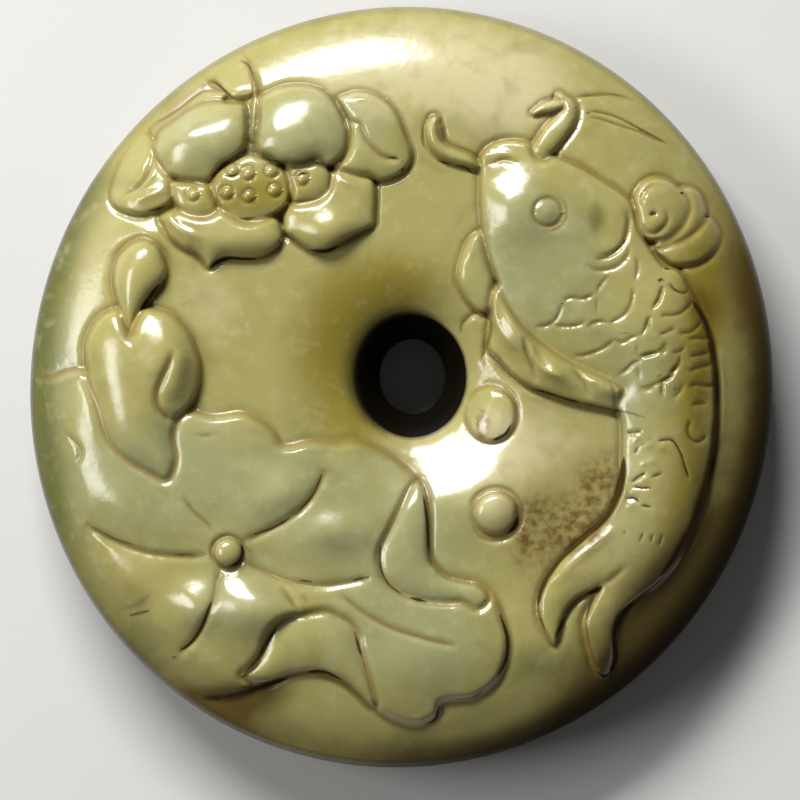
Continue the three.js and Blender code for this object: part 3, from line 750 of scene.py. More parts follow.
    def soiling(self) -> list[Cut]:
        """Where soil has stayed in the cuts of the flower.

        Returns:
            The cuts, from the bottom up.
        """
        return deposits(
            (1.0, ((-14.7, 9.2, 0.14), (-14.1, 9.65, 0.17), (-13.2, 9.92, 0.14), (-12.2, 9.85, 0.11),
                   (-11.2, 9.85, 0.12))),
            (1.0, ((-7, 10.55, 0.1), (-6.3, 10.45, 0.14), (-5.6, 10.5, 0.14), (-4.9, 10.85, 0.12))),
            (0.85, ((-19.4, 13.55, 0.08), (-18.7, 13.7, 0.13), (-18.2, 13.95, 0.1))),
            (0.4, ((-21.2, 13.75, 0.1), (-20, 13.35, 0.1))),
            (0.45, ((-21.2, 14.9, 0.1), (-20.3, 15.35, 0.12), (-19.6, 16.2, 0.14), (-19.2, 17.2, 0.08))),
            (0.7, ((-14.8, 15.7, 0.1), (-14.3, 16.4, 0.12), (-13.6, 17.1, 0.2), (-12.9, 17.45, 0.1))),
            (0.8, ((-13.6, 16.25, 0.07), (-13, 16.2, 0.1), (-12.6, 16.3, 0.07))),
            (0.9, ((-11.6, 18.85, 0.16), (-11.4, 18.75, 0.14))),
            (0.7, ((-10.2, 17.5, 0.1), (-9.4, 17.25, 0.14), (-8.9, 16.9, 0.08))),
            (1.0, ((-8, 16.2, 0.12), (-7.6, 16.4, 0.17), (-7.1, 16.4, 0.12))),
            (0.8, ((-6.1, 17.2, 0.12), (-5.9, 17.15, 0.12))),
            (0.5, ((-5.75, 16.9, 0.1), (-5.5, 16.2, 0.1), (-5.65, 15.1, 0.1))),
            (0.5, ((-8.8, 14.3, 0.12), (-7.5, 14.3, 0.12), (-6.2, 14.55, 0.12))),
            (0.7, ((-12.2, 14.6, 0.08), (-12.1, 15, 0.1), (-11.7, 15.2, 0.08))),
            (0.6, ((-11.6, 13.9, 0.07), (-11.1, 14.2, 0.07))),
            (0.75, ((-12.4, 12.95, 0.12), (-11.8, 12.9, 0.18), (-11.2, 13, 0.12))),
            (0.35, ((-10.6, 13.1, 0.12), (-9.5, 13.6, 0.14))),
            (0.5, ((-14.3, 13.95, 0.16), (-13.8, 13.9, 0.2))),
            (0.4, ((-17.3, 14.1, 0.1), (-16.8, 13.7, 0.12))),
            (0.7, ((-9.4, 11.3, 0.12), (-9.3, 11, 0.14))),
            (1.0, ((-2.1, 15.9, 0.17), (-1.95, 15.6, 0.22))),
            (0.85, ((-1.1, 17.65, 0.1), (-0.5, 17.6, 0.14), (-0.2, 17.5, 0.08))),
            (1.0, ((0, 16.6, 0.16), (0.2, 16.75, 0.2))),
            (0.5, ((-0.8, 16.05, 0.12), (-0.2, 16.3, 0.12))),
            (0.55, ((-15.7, 24.15, 0.14), (-14.8, 23.95, 0.24), (-14.1, 23.4, 0.24), (-13.5, 22.7, 0.14))),
            (0.5, ((-19.6, 20.35, 0.2), (-18.8, 20.8, 0.26), (-17.6, 21.6, 0.2))),
        )

    def cuts(self) -> list[Cut]:
        """Lists every cut of the figure.

        Returns:
            The cuts, from the bottom up.
        """
        dome_left = Outline(
            (-19, 18.7), (-18.6, 19.6), (-17.5, 20.5), (-16, 21.5), (-14.5, 21.9), (-13, 21.9),
            (-12.1, 21.7), (-11.9, 20.4), (-12, 18.7), (-12.7, 17.7), (-13.7, 17.1), (-14.3, 16.4),
            (-14.8, 15.8), (-16.5, 15.9), (-17.8, 16.3), (-18.5, 17.2), (-18.9, 18),
        )
        dome_right = Outline(
            (-10.8, 22.2), (-10, 22.7), (-9, 23.1), (-8, 23.2), (-7, 23.1), (-6, 22.7), (-5.3, 22),
            (-4.7, 21.1), (-4.2, 20), (-4.1, 19), (-4.3, 18.1), (-4.9, 17.3), (-5.6, 17), (-6.5, 17.5),
            (-7.7, 17.2), (-9.3, 17.2), (-10.2, 17.7), (-11.1, 18.3), (-10.9, 20.5),
        )
        lift, crown = self.dome_lift, self.dome_crown
        rib = (
            (-12.9, 26), (-12, 25.2), (-11.5, 24.3), (-11.2, 23.3), (-11.2, 22), (-11.4, 20), (-11.5, 18.8),
        )
        return [
            *self.side_petals(),
            *self.lower_petals(),
            *self.pod(),
            Pad(dome_left, lift, crown, 1.7, bevel=0.3, tops=(Swell((-15.8, 19.4), (4.6, 2.4), 0, 0.9),)),
            Pad(dome_right, lift, crown, 1.7, bevel=0.3, tops=(Swell((-8.3, 18.7), (3.6, 3), 0, 1.0),)),
            Stroke(rib, -0.45, 0.34),
            Stroke(
                ((-12.2, 25.1), (-11.7, 24.2), (-11.4, 23.2), (-11.5, 22), (-11.7, 20.2), (-11.8, 19)),
                0.14, 0.16,
            ),
            Stroke(((-13.4, 22.25), (-12.8, 22.1), (-12.2, 22)), -0.1, 0.16),
            *self.soiling(),
            Deposit(((-19.9, 19.4, 0.25), (-17.6, 21.4, 0.45), (-15.6, 23, 0.45), (-14.2, 24.2, 0.3)), 0.45),
            Deposit(((-15.2, 23.9, 0.14), (-14.1, 23.3, 0.14), (-12.8, 22.1, 0.1)), 0.7),
            Deposit(((-12.8, 25.4, 0.14), (-11.8, 24.8, 0.14), (-11.2, 23.2, 0.1)), 0.6),
        ]


@dataclass(frozen=True)
class Carp:
    """The carp on the right: head, scaled body, banded fin, forked tail, feeler and scrolled fin."""

    lift: float = 0.62
    crown: float = 0.85
    eye: Place = (11.25, 13.4)
    eye_radius: float = 1.05
    scale_cut: float = 0.15
    scale_width: float = 0.17

    def scrolls(self) -> list[Cut]:
        """The scrolled fin behind the gill.

        Returns:
            The cuts, from the bottom up.
        """
        lobe_low = Outline(
            (20.2, 9.9), (21, 9.4), (22, 9.4), (22.9, 9.6), (23.8, 10.2), (24.4, 11), (24.6, 11.8),
            (24.3, 12.5), (23.6, 13.1), (22, 12.6), (20, 11.4), (19.2, 10.7),
        )
        lobe_mid = Outline(
            (21.2, 15.1), (21.9, 15.3), (22.6, 15.3), (23.2, 14.8), (23.5, 14), (23.5, 13.2), (22.9, 12.3),
            (22.1, 11.6), (21, 11.1), (19.6, 10.9), (20.5, 13),
        )
        lobe_top = Outline(
            (18, 13.2), (17.9, 14.3), (18.2, 15.2), (18.9, 15.9), (19.8, 16.1), (20.8, 15.8), (21.6, 15),
            (22.1, 14), (21.9, 13), (21.3, 12.1), (20.3, 11.4), (18.9, 11.3), (18.2, 12),
        )
        return [
            Pad(lobe_low, 0.3, 0.3, 1.5, cut=0.2, bevel=0.26),
            Pad(lobe_mid, 0.4, 0.3, 1.5, cut=0.2, bevel=0.26),
            Pad(lobe_top, 0.5, 0.45, 1.8, cut=0.2, bevel=0.28),
            Stroke(((18.6, 13.6), (18.5, 14.6), (19, 15.3), (19.8, 15.6)), 0.14, 0.2),
            Stroke(((19, 13.2), (19.7, 13.4)), 0.24, 0.17, 1.0, 0.3),
            Stroke(
                ((20.2, 13.7), (20.5, 13), (20.2, 12.3), (19.5, 11.8), (18.8, 12), (18.6, 12.6)),
                0.18, 0.22,
            ),
            Swell((19.4, 12.6), (0.5, 0.4), 0, 0.12),
            Swell((18.9, 14.5), (0.5, 0.6), 0, 0.16),
        ]

    def behind(self) -> list[Cut]:
        """What the body lies over: feeler, leaf-like fin and banded fin.

        Returns:
            The cuts, from the bottom up.
        """
        feeler = Band(
            (5.85, 17.0, 0.3), (5.2, 17.35, 0.5), (4.2, 17.7, 0.56), (3.3, 18.1, 0.6), (2.75, 18.7, 0.62),
            (2.55, 19.4, 0.64), (2.5, 20, 0.6), (2.55, 20.5, 0.4),
        )
        leaflet = Outline(
            (6, 11.9), (5.2, 11.3), (4.7, 10.2), (4.4, 9), (4.4, 8), (4.7, 7.2), (5.3, 6.3), (6.2, 5.6),
            (7.4, 6.4), (7.2, 8), (6.9, 9.3), (6.5, 11.2),
        )
        fin = Outline(
            (7.4, 7.8), (7.0, 6.6), (6.9, 5.2), (6.7, 3.0), (7.5, 2.1), (8.4, 1.1), (9.3, 0.4), (10.2, -0.1),
            (11.3, -0.45), (12.5, -0.9), (14, -1.3), (15.5, -1.6), (16.5, -1.85), (17.5, -2), (18.3, -2.2),
            (19.4, -2.5), (20, -1), (16, 2), (11, 5), (8.5, 8),
        )
        return [
            Swell((13, -7), (3.8, 4.5), 0, -0.4),
            Pad(feeler, 0.3, 0.5, 0.6, cut=0.22, width=0.22, bevel=0.16),
            Stroke(((2.75, 20.4), (2.85, 19.5), (3.2, 18.8), (3.9, 18.2)), 0.2, 0.2),
            Pad(leaflet, 0.3, 0.35, 1.2, cut=0.14, bevel=0.3),
            Stroke(((5.7, 11), (5.35, 10.3), (5.25, 9.4)), -0.1, 0.22),
            Pad(fin, 0.7, 0.3, 1.6, cut=0.3, width=0.3, bevel=0.22),
            Stroke(((6.8, 2.95), (8, 1.6), (9, 0.35), (10, -0.55), (11.2, -1.05)), -0.2, 0.3),
            Stroke(((9.35, 3.9), (9.5, 3.1), (9.75, 2.2), (10.1, 1.4), (10.4, 0.4)), 0.22, 0.22),
            Stroke(((13.1, 1.6), (13.6, 0.9), (14.1, 0.2), (14.5, -0.8)), 0.22, 0.2),
            Stroke(((15.9, 0.5), (16.3, -0.2), (16.5, -1.1)), 0.2, 0.18),
            Stroke(((7.15, 7.5), (7.1, 6.2), (7.3, 5), (7.9, 3.9), (8.8, 2.8)), -0.22, 0.3),
            Stroke(((9.9, 3.4), (10.3, 2.2), (11, 1.3), (12.4, 0.7)), -0.2, 0.24),
            Stroke(((13.9, 0.9), (14.6, 0.5), (15.7, 0.25)), -0.2, 0.26),
            Swell((8.9, 4.0), (0.9, 2.0), 30, 0.7),
            Swell((11.9, 1.1), (1.6, 0.85), -35, 0.7),
            Swell((15.7, -0.1), (1.3, 0.7), -20, 0.55),
        ]

    def scales(self) -> list[Cut]:
        """The scales, row by row from the gill to where the tail narrows, each bowed towards the tail.

        Returns:
            The cuts, from the bottom up.
        """
        rows = (
            ((12.3, 6.5), (13, 6.85), (14, 6.75), (14.9, 7.2)),
            ((14.9, 7.1), (15.3, 7.8), (15.9, 8.6)),
            ((10.2, 4.6), (11.3, 4.75), (12, 5.4), (12.35, 6.4)),
            ((11.6, 4.75), (12.6, 4.65), (13.6, 4.75), (14.2, 5.1)),
            ((14.2, 4.5), (14.9, 4.95), (15.9, 5.0)),
            ((15.9, 4.9), (16.7, 5.25), (17.3, 5.75), (17.7, 6.6), (17.75, 7.6)),
            ((17.9, 8.1), (18.15, 9), (18.0, 10)),
            ((13.2, 2.5), (14, 2.4), (15.3, 2.85), (16, 3.3), (16.4, 3.75)),
            ((16.3, 3.65), (17, 3.4), (17.7, 3.8), (18.3, 4.0)),
            ((18.2, 3.8), (18.7, 4.4), (19.0, 5.5)),
            ((19.1, 5.8), (19.7, 6.6), (20.1, 7.8)),
            ((16.6, 0.9), (17.3, 1.3), (17.8, 1.8), (18.6, 2.1)),
            ((18, 2.3), (19.2, 2.5), (19.9, 2.8), (20.4, 3.5)),
            ((18.2, -0.1), (19, 0.0), (19.9, 0.4), (20.8, 0.9), (21.15, 1.8)),
            ((20.1, 7.8), (20.0, 7.3), (19.7, 6.5), (19.3, 6.1)),
            ((19.15, 5.5), (18.9, 4.6), (18.7, 4.2)),
            ((20.4, 3.3), (20.2, 2.7), (19.7, 2.4)),
            ((20.9, 0.8), (20.1, 0.35), (20.0, -0.4), (20.1, -0.9)),
            ((18.4, -0.2), (18.9, -0.3), (19.6, 0.05)),
            ((20.7, -0.9), (21.3, -0.5), (21.7, 0.3)),
        )
        earthy = (
            ((20.5, 8.0), (21.1, 7.4), (21.8, 7.25), (22.2, 7.5)),
            ((19.8, 5.5), (20.95, 5.55), (21.6, 5.8), (22.1, 6.25), (22.4, 6.7)),
            ((19.7, 4.0), (20.3, 4.2), (21.1, 4.6)),
            ((21.2, 4.15), (22.1, 4.2), (22.6, 4.5), (23.0, 4.95), (23.3, 5.4)),
            ((21.9, 3.7), (22.8, 3.75), (23.8, 3.65)),
            ((18.3, 2.3), (19.6, 2.65)),
            ((20.7, 2.6), (21.4, 2.75), (21.8, 3.2)),
            ((22.0, 2.4), (22.8, 2.45), (23.8, 2.7)),
            ((20.4, 1.0), (21.1, 1.45), (21.35, 2.05), (21.2, 2.5)),
            ((22.0, 1.15), (22.9, 1.5), (24, 1.75)),
            ((22.0, -0.1), (22.6, 0.2), (23.3, 0.1), (24.2, 0.1)),
            ((20.9, -0.45), (21.2, 0.0)),
            ((22.2, -1.4), (22.7, -1.3), (23.6, -1.25)),
            ((22.3, -2.5), (22.0, -3.1), (22.1, -3.8), (22.6, -4.2), (23.1, -4.1), (23.5, -3.6)),
        )
        faint = (
            ((15.0, 6.9), (14.95, 5.5)),
            ((18.1, 3.4), (18.05, 2.3)),
            ((20.1, 0.3), (20.1, -0.9)),
            ((18.1, 1.7), (18.3, 0.4)),
        )
        return [
            *(Stroke(row, self.scale_cut, self.scale_width, 0.0, 0.6) for row in rows),
            *(Stroke(row, 0.07, 0.16, 0.0, 0.5) for row in faint),
            *(Stroke(row, 0.12, 0.2, 0.62, 0.4) for row in earthy),
        ]

    def fin_marks(self) -> list[Cut]:
        """Short cuts of the lower fin and the row of nicks where the tail begins.

        Returns:
            The cuts, from the bottom up.
        """
        marks = (
            ((17.1, -3.55), (17.9, -3.5), (18.6, -3.35)),
            ((19.6, -4.15), (20.6, -4.05), (21.0, -4.3), (21.5, -5.2), (21.65, -5.7), (22.1, -7.1)),
            ((18.3, -4.5), (17.8, -5.2)),
            ((17.6, -7.4), (18.2, -6.9), (18.9, -6.5)),
            ((19.1, -6.95), (20.1, -6.6)),
            ((17.7, -7.6), (18.4, -7.75), (19.3, -7.75)),
            ((17.1, -8.6), (17.9, -8.55), (18.4, -8.95)),
            ((18.3, -9.05), (19.3, -9.25)),
        )
        glints = (
            (18.1, -3.95), (19.0, -4.5), (20.0, -4.65), (18.7, -7.1), (17.8, -8.05), (17.65, -9.1),
            (17.0, -7.9),
        )
        nicks = (
            ((17.3, -11), (17, -11.4)),
            ((18.6, -11.1), (18.25, -12)),
            ((19.35, -11.2), (19.1, -12)),
            ((20.1, -11.2), (19.75, -12.3)),
        )
        return [
            *(Stroke(mark, 0.12, 0.15, 0.8, 0.4) for mark in marks),
            *(Stroke(nick, 0.08, 0.12, 0.7, 0.3) for nick in nicks),
            *(Swell(glint, (0.32, 0.24), 10, 0.1) for glint in glints),
            Stroke(((18.3, -6.0), (19.7, -5.55)), -0.1, 0.2, fade=0.4),
            Stroke(((17.3, -6.7), (17.2, -7.9), (16.85, -8.8), (16.2, -9.9)), -0.12, 0.2),
            Stroke(((17.2, -17.8), (20.3, -14.7), (22.2, -12.6), (23.7, -9.2)), -0.2, 0.26),
            Stroke(((24.45, 2.9), (24.75, 0.3), (24.75, -3), (24.55, -4.6)), -0.16, 0.2),
        ]

    def head(self) -> list[Cut]:
        """Mouth, eye, gill, and the little sprout and streamers above.

        Returns:
            The cuts, from the bottom up.
        """
        r = self.eye_radius
        sprout = Band(
            (10.9, 18.3, 0.8), (11.7, 19.4, 0.9), (12.6, 20.5, 0.8), (12.9, 21.5, 0.62), (12.3, 22.3, 0.35),
        )
        curl = Band((10.2, 21.1, 0.2), (11, 21.5, 0.42), (11.8, 21.7, 0.45), (12.2, 21.7, 0.3))
        hook = (
            (4.6, 4), (4.6, 4.7), (5.1, 5.3), (5.8, 5.75), (6.5, 5.6), (6.9, 4.9), (6.85, 4.1), (6.5, 3),
            (6.25, 2.3), (6.3, 1.5),
        )
        upper_streamer = ((13.3, 22.3), (14.5, 22.5), (16, 22.6), (17.3, 22.4), (18.6, 22))
        lower_streamer = ((14.2, 21.15), (15, 21.2), (16.5, 20.85), (18, 20.15), (19.3, 19.45), (20.7, 18.75))
        lower_edge = ((14.3, 20.85), (15.5, 20.6), (17, 20.1), (18.3, 19.7), (19.6, 19.1), (20.6, 18.75))
        return [
            Stroke(((6.4, 17.1), (7.2, 17.25), (8, 17.45), (9.1, 17.15)), 0.18, 0.18),
            Stroke(((6.8, 17.6), (7.6, 17.95), (8.4, 17.85), (9.1, 17.5)), -0.16, 0.26),
            Stroke(((6.2, 17.8), (6.6, 18.4), (7.2, 18.75)), -0.1, 0.14),
            Stroke(
                ((17.3, 13.6), (17.45, 12.6), (17.2, 11.3), (16.7, 10.6), (15.9, 10.1), (14.9, 9.85)),
                0.26, 0.24,
            ),
            Stroke(((17.5, 11), (17.3, 10), (16.6, 9.3), (15.8, 9), (14.9, 9), (14.2, 9.4)), 0.16, 0.22),
            Swell((8.9, 13.4), (2.3, 2.6), 0, 0.8),
            Swell((8.0, 17.4), (2.2, 2.2), 0, -0.45),
            Swell((15.1, 12.6), (1.3, 1.9), 0, -0.2),
            Stroke(arc(self.eye, r + 0.05, 0, 360), 0.17, 0.19, 0.0, 0.1),
            Stroke(arc(self.eye, r + 0.4, 60, -110), 0.1, 0.16, 0.0),
            Swell(self.eye, (0.7, 0.7), 0, 0.22),
            Pad(sprout, 0.3, 0.35, 0.9, cut=0.18, bevel=0.25),
            Pad(curl, 0.35, 0.3, 0.45, cut=0.2, width=0.2, bevel=0.14),
            Stroke(((12.2, 22.4), (12.65, 21.7), (12.2, 20.8)), -0.12, 0.16),
            Stroke(upper_streamer, 0.18, 0.22, 0.4),
            Stroke(lower_streamer, 0.16, 0.16, 0.5),
            Stroke(lower_edge, 0.16, 0.16, 0.4),
            Stroke(hook, 0.16, 0.24, 0.3),
            Deposit(tuple((x, y, 0.16) for x, y in hook), 0.5),
        ]

    def soiling(self) -> list[Cut]:
        """Where soil has stayed round the carp, with painted shade in the dark band along its back.

        Returns:
            The cuts, from the bottom up.
        """
        half = 0.12
        spots = (
            (19.85, 8.2, 0.24, 1.0), (20.4, 9.1, 0.2, 1.0), (21.5, 9.1, 0.26, 1.0), (23.6, 13.15, 0.24, 1.0),
            (21.6, 14.95, 0.22, 0.95), (12.35, 6.4, 0.16, 0.8), (13.4, 6.9, 0.14, 0.4),
            (19.75, 0.85, 0.16, 0.8), (11.3, 18.2, 0.14, 0.8), (10.9, 17.6, 0.12, 0.8),
            (13.4, 21.45, 0.14, 0.7), (14.35, 21.1, 0.16, 0.8), (12.9, 20.3, 0.12, 0.5),
            (19.05, -3.95, 0.18, 0.6), (18.5, -4.4, 0.12, 0.7), (21.15, -4.5, 0.14, 0.6),
        )
        return deposits(
            (1.0, ((17.1, -5.4, 0.12), (17.05, -6.2, 0.24), (16.9, -7.3, 0.34), (16.55, -8.5, 0.32),
                   (16.1, -9.5, 0.28), (15.4, -10.4, 0.26), (14.4, -11.25, 0.22), (13.2, -12.3, 0.24),
                   (12.1, -13.4, 0.2), (11.2, -14.7, 0.26), (10.7, -15.8, 0.2), (10.5, -16.8, 0.16))),
            (0.6, ((10.5, -16.8, 0.16), (10.7, -17.8, 0.16), (11.1, -18.8, 0.14))),
            (1.0, ((14.1, -16, 0.1), (14.8, -15.75, 0.22), (15.2, -15.55, 0.3), (15.4, -15.3, 0.16))),
            (0.5, ((14, -16.05, 0.12), (13.1, -16.7, 0.16), (12.5, -17.5, 0.16))),
            (1.0, ((12.5, -17.75, 0.2), (12.25, -18.4, 0.2), (11.85, -19.3, 0.14))),
            (0.7, ((14.9, -16, 0.16), (14.5, -16.8, 0.16), (14.2, -17.9, 0.1))),
            (0.5, ((14.2, -18, 0.12), (14.4, -19.4, 0.12), (14.8, -20.8, 0.14), (15.1, -21.7, 0.14))),
            (0.9, ((15.1, -21.9, 0.14), (15.6, -22.3, 0.2), (16.1, -22.1, 0.2))),
            (1.0, ((16.1, -22.1, 0.24), (16.5, -20.8, 0.26), (16.35, -19.2, 0.24), (16.65, -18, 0.3),
                   (17.1, -17.3, 0.24), (18, -16.4, 0.14))),
            (0.5, ((18, -16.5, 0.16), (19.2, -15.5, 0.18), (20.2, -14.6, 0.2))),
            # Soil and painted shade: the dark band along the carp's back lies on the side turned from the
            # lamps.
            (0.95, ((20, -14.5, 0.24), (21.2, -12.8, 0.34), (22.3, -10.8, 0.42), (23.1, -8.6, 0.5),
                    (23.8, -6, 0.46), (24.1, -4, 0.42), (24.2, -2, 0.4), (24.2, 0.4, 0.4), (24, 2.1, 0.36),
                    (23.8, 3.4, 0.34), (23.5, 4.6, 0.3), (23.1, 5.5, 0.26), (22.4, 6.6, 0.2))),
            (0.45, ((22.4, 6.6, 0.2), (22.05, 7.4, 0.2), (21.5, 8.6, 0.16))),
            (0.9, ((10, -0.1, 0.06), (11.4, -0.5, 0.1), (12.8, -0.95, 0.12), (13.8, -1.2, 0.1))),
            (0.6, ((13.8, -1.2, 0.1), (15.5, -1.6, 0.1), (17.4, -1.95, 0.12), (18.9, -2.4, 0.08))),
            (1.0, ((17.15, 11.3, 0.14), (17.05, 11, 0.16))),
            (0.8, ((16.9, 10.9, 0.08), (16, 10.1, 0.1), (15, 9.8, 0.08))),
            (0.4, ((15.7, 9.05, 0.1), (16, 9.05, 0.1))),
            (0.95, ((19.1, 13.25, 0.08), (19.6, 13.35, 0.1))),
            (0.6, ((19.3, 10.75, 0.12), (19.9, 10.75, 0.14))),
            (0.45, ((22.3, 15.4, 0.1), (23, 15.1, 0.12), (23.4, 14.2, 0.12), (23.6, 13.5, 0.12))),
            (0.45, ((22.9, 12.3, 0.14), (22.2, 11.7, 0.14), (20.8, 11.05, 0.1))),
            (0.4, ((24.5, 12, 0.1), (24.3, 11, 0.16), (23.4, 10.1, 0.2), (22.2, 9.5, 0.2))),
            (0.9, ((2.8, 17.45, 0.07), (3.7, 17.15, 0.1))),
            (0.85, ((4.1, 17.05, 0.08), (4.9, 16.9, 0.12), (5.5, 16.4, 0.08))),
            (0.5, ((1.7, 20.2, 0.12), (1.6, 19, 0.16), (1.75, 18.4, 0.12))),
            (0.55, ((1.9, 20.6, 0.1), (2.4, 20.8, 0.1), (2.9, 20.75, 0.1))),
            (0.35, ((3.2, 20, 0.1), (3.3, 19.3, 0.1), (3.6, 18.75, 0.1), (4.6, 18.4, 0.1), (5.6, 18.1, 0.1))),
            (0.5, ((10, 21.05, 0.08), (10.7, 21.7, 0.1), (11.5, 22.1, 0.14), (11.7, 22.6, 0.2))),
            (0.45, ((10.4, 20.8, 0.06), (11.2, 21.05, 0.1), (11.8, 21.3, 0.1))),
            (0.5, ((13.6, 22.4, 0.12), (15, 22.5, 0.16), (16.3, 22.6, 0.12), (17.8, 22.3, 0.16))),
            (0.6, ((17, 20.65, 0.1), (18.6, 19.8, 0.1), (20.4, 18.85, 0.14))),
            (0.4, ((11.3, 18.5, 0.12), (12.2, 19.3, 0.14), (13, 20.2, 0.14), (13.35, 21, 0.1))),
            (0.45, ((15, 5.05, 0.1), (15.9, 5.05, 0.1), (16.6, 5.15, 0.1))),
            (0.5, ((16.8, 4.1, 0.1), (17.6, 4.15, 0.12))),
            (0.5, ((20.2, 4.1, 0.12), (20.9, 4.5, 0.14))),
            (0.45, ((18, 2.25, 0.1), (18.7, 2.35, 0.12), (19.7, 2.7, 0.12))),
            (0.5, ((20.1, 0.9, 0.08), (20.8, 1.15, 0.12), (21.2, 1.9, 0.1))),
        ) + [
            Deposit(((x - half, y, w), (x + half, y, w)), strength) for x, y, w, strength in spots
        ]

    def cuts(self) -> list[Cut]:
        """Lists every cut of the figure.

        Returns:
            The cuts, from the bottom up.
        """
        body = Outline(
            (6.1, 16.8), (6.1, 17.6), (6.5, 18.2), (7.2, 18.7), (8.3, 18.95), (9.5, 18.85), (10.5, 18.4),
            (11.2, 18), (12.5, 17.4), (14, 16.7), (15.5, 15.75), (17, 14.8), (17.8, 13.9), (18.2, 12.2),
            (19, 10.8), (20.1, 9.3), (21.3, 8.9), (22.2, 7.6), (22.8, 6.4), (23.8, 4), (24.2, 1.5),
            (24.3, -1), (24.3, -4), (23.9, -5.8), (23.5, -8.5), (23, -10), (22.3, -11.5), (21.4, -13.2),
            (20.6, -14.2), (19.5, -15.3), (18.3, -16.2), (17.2, -17.2), (16.6, -18.3), (16.4, -19.5),
            (16.4, -21), (16.1, -22), (15.6, -22.4), (15.1, -22), (14.7, -21), (14.3, -19.5), (14.1, -18.2),
            (14.5, -17.1), (15, -16.1), (15.2, -15.5), (14.6, -15.7), (13.8, -16.1), (13, -16.8),
            (12.5, -17.6), (12.2, -18.6), (11.8, -19.8), (11.2, -19), (10.9, -18.4), (10.6, -17.5),
            (10.6, -16.5), (10.9, -15.4), (11.5, -14.3), (12.4, -13.2), (13.4, -12.3), (14.6, -11.3),
            (15.5, -10.4), (16.2, -9.5), (16.7, -8.5), (17, -7.3), (17, -5), (17, -3), (16.7, -1.4), (17, 0),
            (15, 1.1), (13.5, 1.8), (12.3, 2.4), (11.2, 3.2), (10.1, 4.1), (8.8, 5.4), (7.7, 7.4),
            (7.2, 8.7), (6.8, 9.8), (6.5, 11), (6.3, 12), (6.1, 14), (6.1, 15.6),
        )
        return [
            *self.scrolls(),
            *self.behind(),
            Pad(
                body, self.lift, self.crown, 4.2, cut=0.22, width=0.3, bevel=0.24,
                tops=(Swell((20.2, 2.5), (2.6, 8), -5, 0.4), Swell((13.5, -16.5), (4, 5), 0, -0.25)),
            ),
            Stroke(((15.1, -15.4), (16.2, -14.7), (17.4, -13.6)), 0.16, 0.3),
            Stroke(((16.6, -10.7), (15.2, -11.9), (13.8, -13), (12.6, -14.1), (11.8, -15.2)), -0.16, 0.4),
            Stroke(((14.1, -16.4), (13.4, -17.1)), -0.1, 0.2),
            *self.scales(),
            *self.fin_marks(),
            *self.head(),
            *self.soiling(),
        ]


@dataclass(frozen=True)
class Beads:
    """The two round beads between the hole and the carp."""

    upper: Place = (6.95, -2.1)
    lower: Place = (7.28, -9.76)

    def cuts(self) -> list[Cut]:
        """Lists every cut of the figure.

        Returns:
            The cuts, from the bottom up.
        """
        x, y = self.lower
        return [
            Pad(Oval(self.upper, (1.92, 2.1)), 0.5, 0.55, 1.9, cut=0.1, bevel=0.3, tilt=(-0.1, 0.02)),
            Stroke(arc(self.upper, 1.95, 90, -20), 0.14, 0.2),
            Deposit(((8.4, -2.9, 0.1), (8, -3.6, 0.13), (7.3, -4.0, 0.2), (7, -4.1, 0.12)), 0.85),
            Stroke(arc(self.lower, 2.1, 170, -150), 0.16, 0.2, 0.2),
            Pad(Oval(self.lower, (1.57, 1.57)), 0.2, 0.32, 1.57, cut=0.2, width=0.28, bevel=0.22),
            Deposit(((x + 1.7, y - 0.2, 0.16), (x + 1.5, y - 0.9, 0.24), (x + 0.9, y - 1.5, 0.14))),
            Deposit(((x + 1.45, y + 0.9, 0.14), (x + 1.65, y + 0.3, 0.16)), 0.5),
            Swell((7.6, -8.6), (5.2, 2.8), 20, 0.85),
        ]


# ---- meshing -----------------------------------------------------------------------------------------


def zip_rings(inner: Array, outer: Array) -> list[tuple[int, int, int]]:
    """Joins two rings of different counts with triangles that face up when the first is the inner one.

    Args:
        inner: indices of the points of one ring.
        outer: indices of the points of the other.

    Returns:
        The triangles.
    """
    made = []
    i = j = 0
    while i < len(inner) or j < len(outer):
        if j >= len(outer) or (i < len(inner) and (i + 1) / len(inner) <= (j + 1) / len(outer)):
            made.append((inner[i % len(inner)], outer[j % len(outer)], inner[(i + 1) % len(inner)]))
            i += 1
        else:
            made.append((inner[i % len(inner)], outer[j % len(outer)], outer[(j + 1) % len(outer)]))
            j += 1
    return made


def refine(first: int, triangles: Array, wanted: Array, sides: Array) -> Array:
    """Splits triangles along the sides that need it.

    Args:
        first: index of the first new point, in the middle of the first side that is split.
        triangles: three indices a row.
        wanted: whether each unique side is to be split.
        sides: for each triangle the indices of its three unique sides.

    Returns:
        The new triangles.
    """
    mids = np.where(wanted, np.cumsum(wanted) - 1 + first, -1)[sides]
    kind = wanted[sides].sum(1)
    kept = [triangles[kind == 0]]
    a, b, c = triangles.T
    m0, m1, m2 = mids.T
    for trio in ((a, m0, m2), (m0, b, m1), (m2, m1, c), (m0, m1, m2)):
        kept.append(np.stack(trio, 1)[kind == 3])
    for turn in range(3):
        p, q, r = (triangles[:, (turn + k) % 3] for k in range(3))
        x0, x1, x2 = (mids[:, (turn + k) % 3] for k in range(3))
        one = (kind == 1) & (x0 >= 0)
        kept.extend(np.stack(trio, 1)[one] for trio in ((p, x0, r), (x0, q, r)))
        two = (kind == 2) & (x2 < 0)
        kept.extend(np.stack(trio, 1)[two] for trio in ((x0, q, x1), (p, x0, x1), (p, x1, r)))
    return np.concatenate(kept)


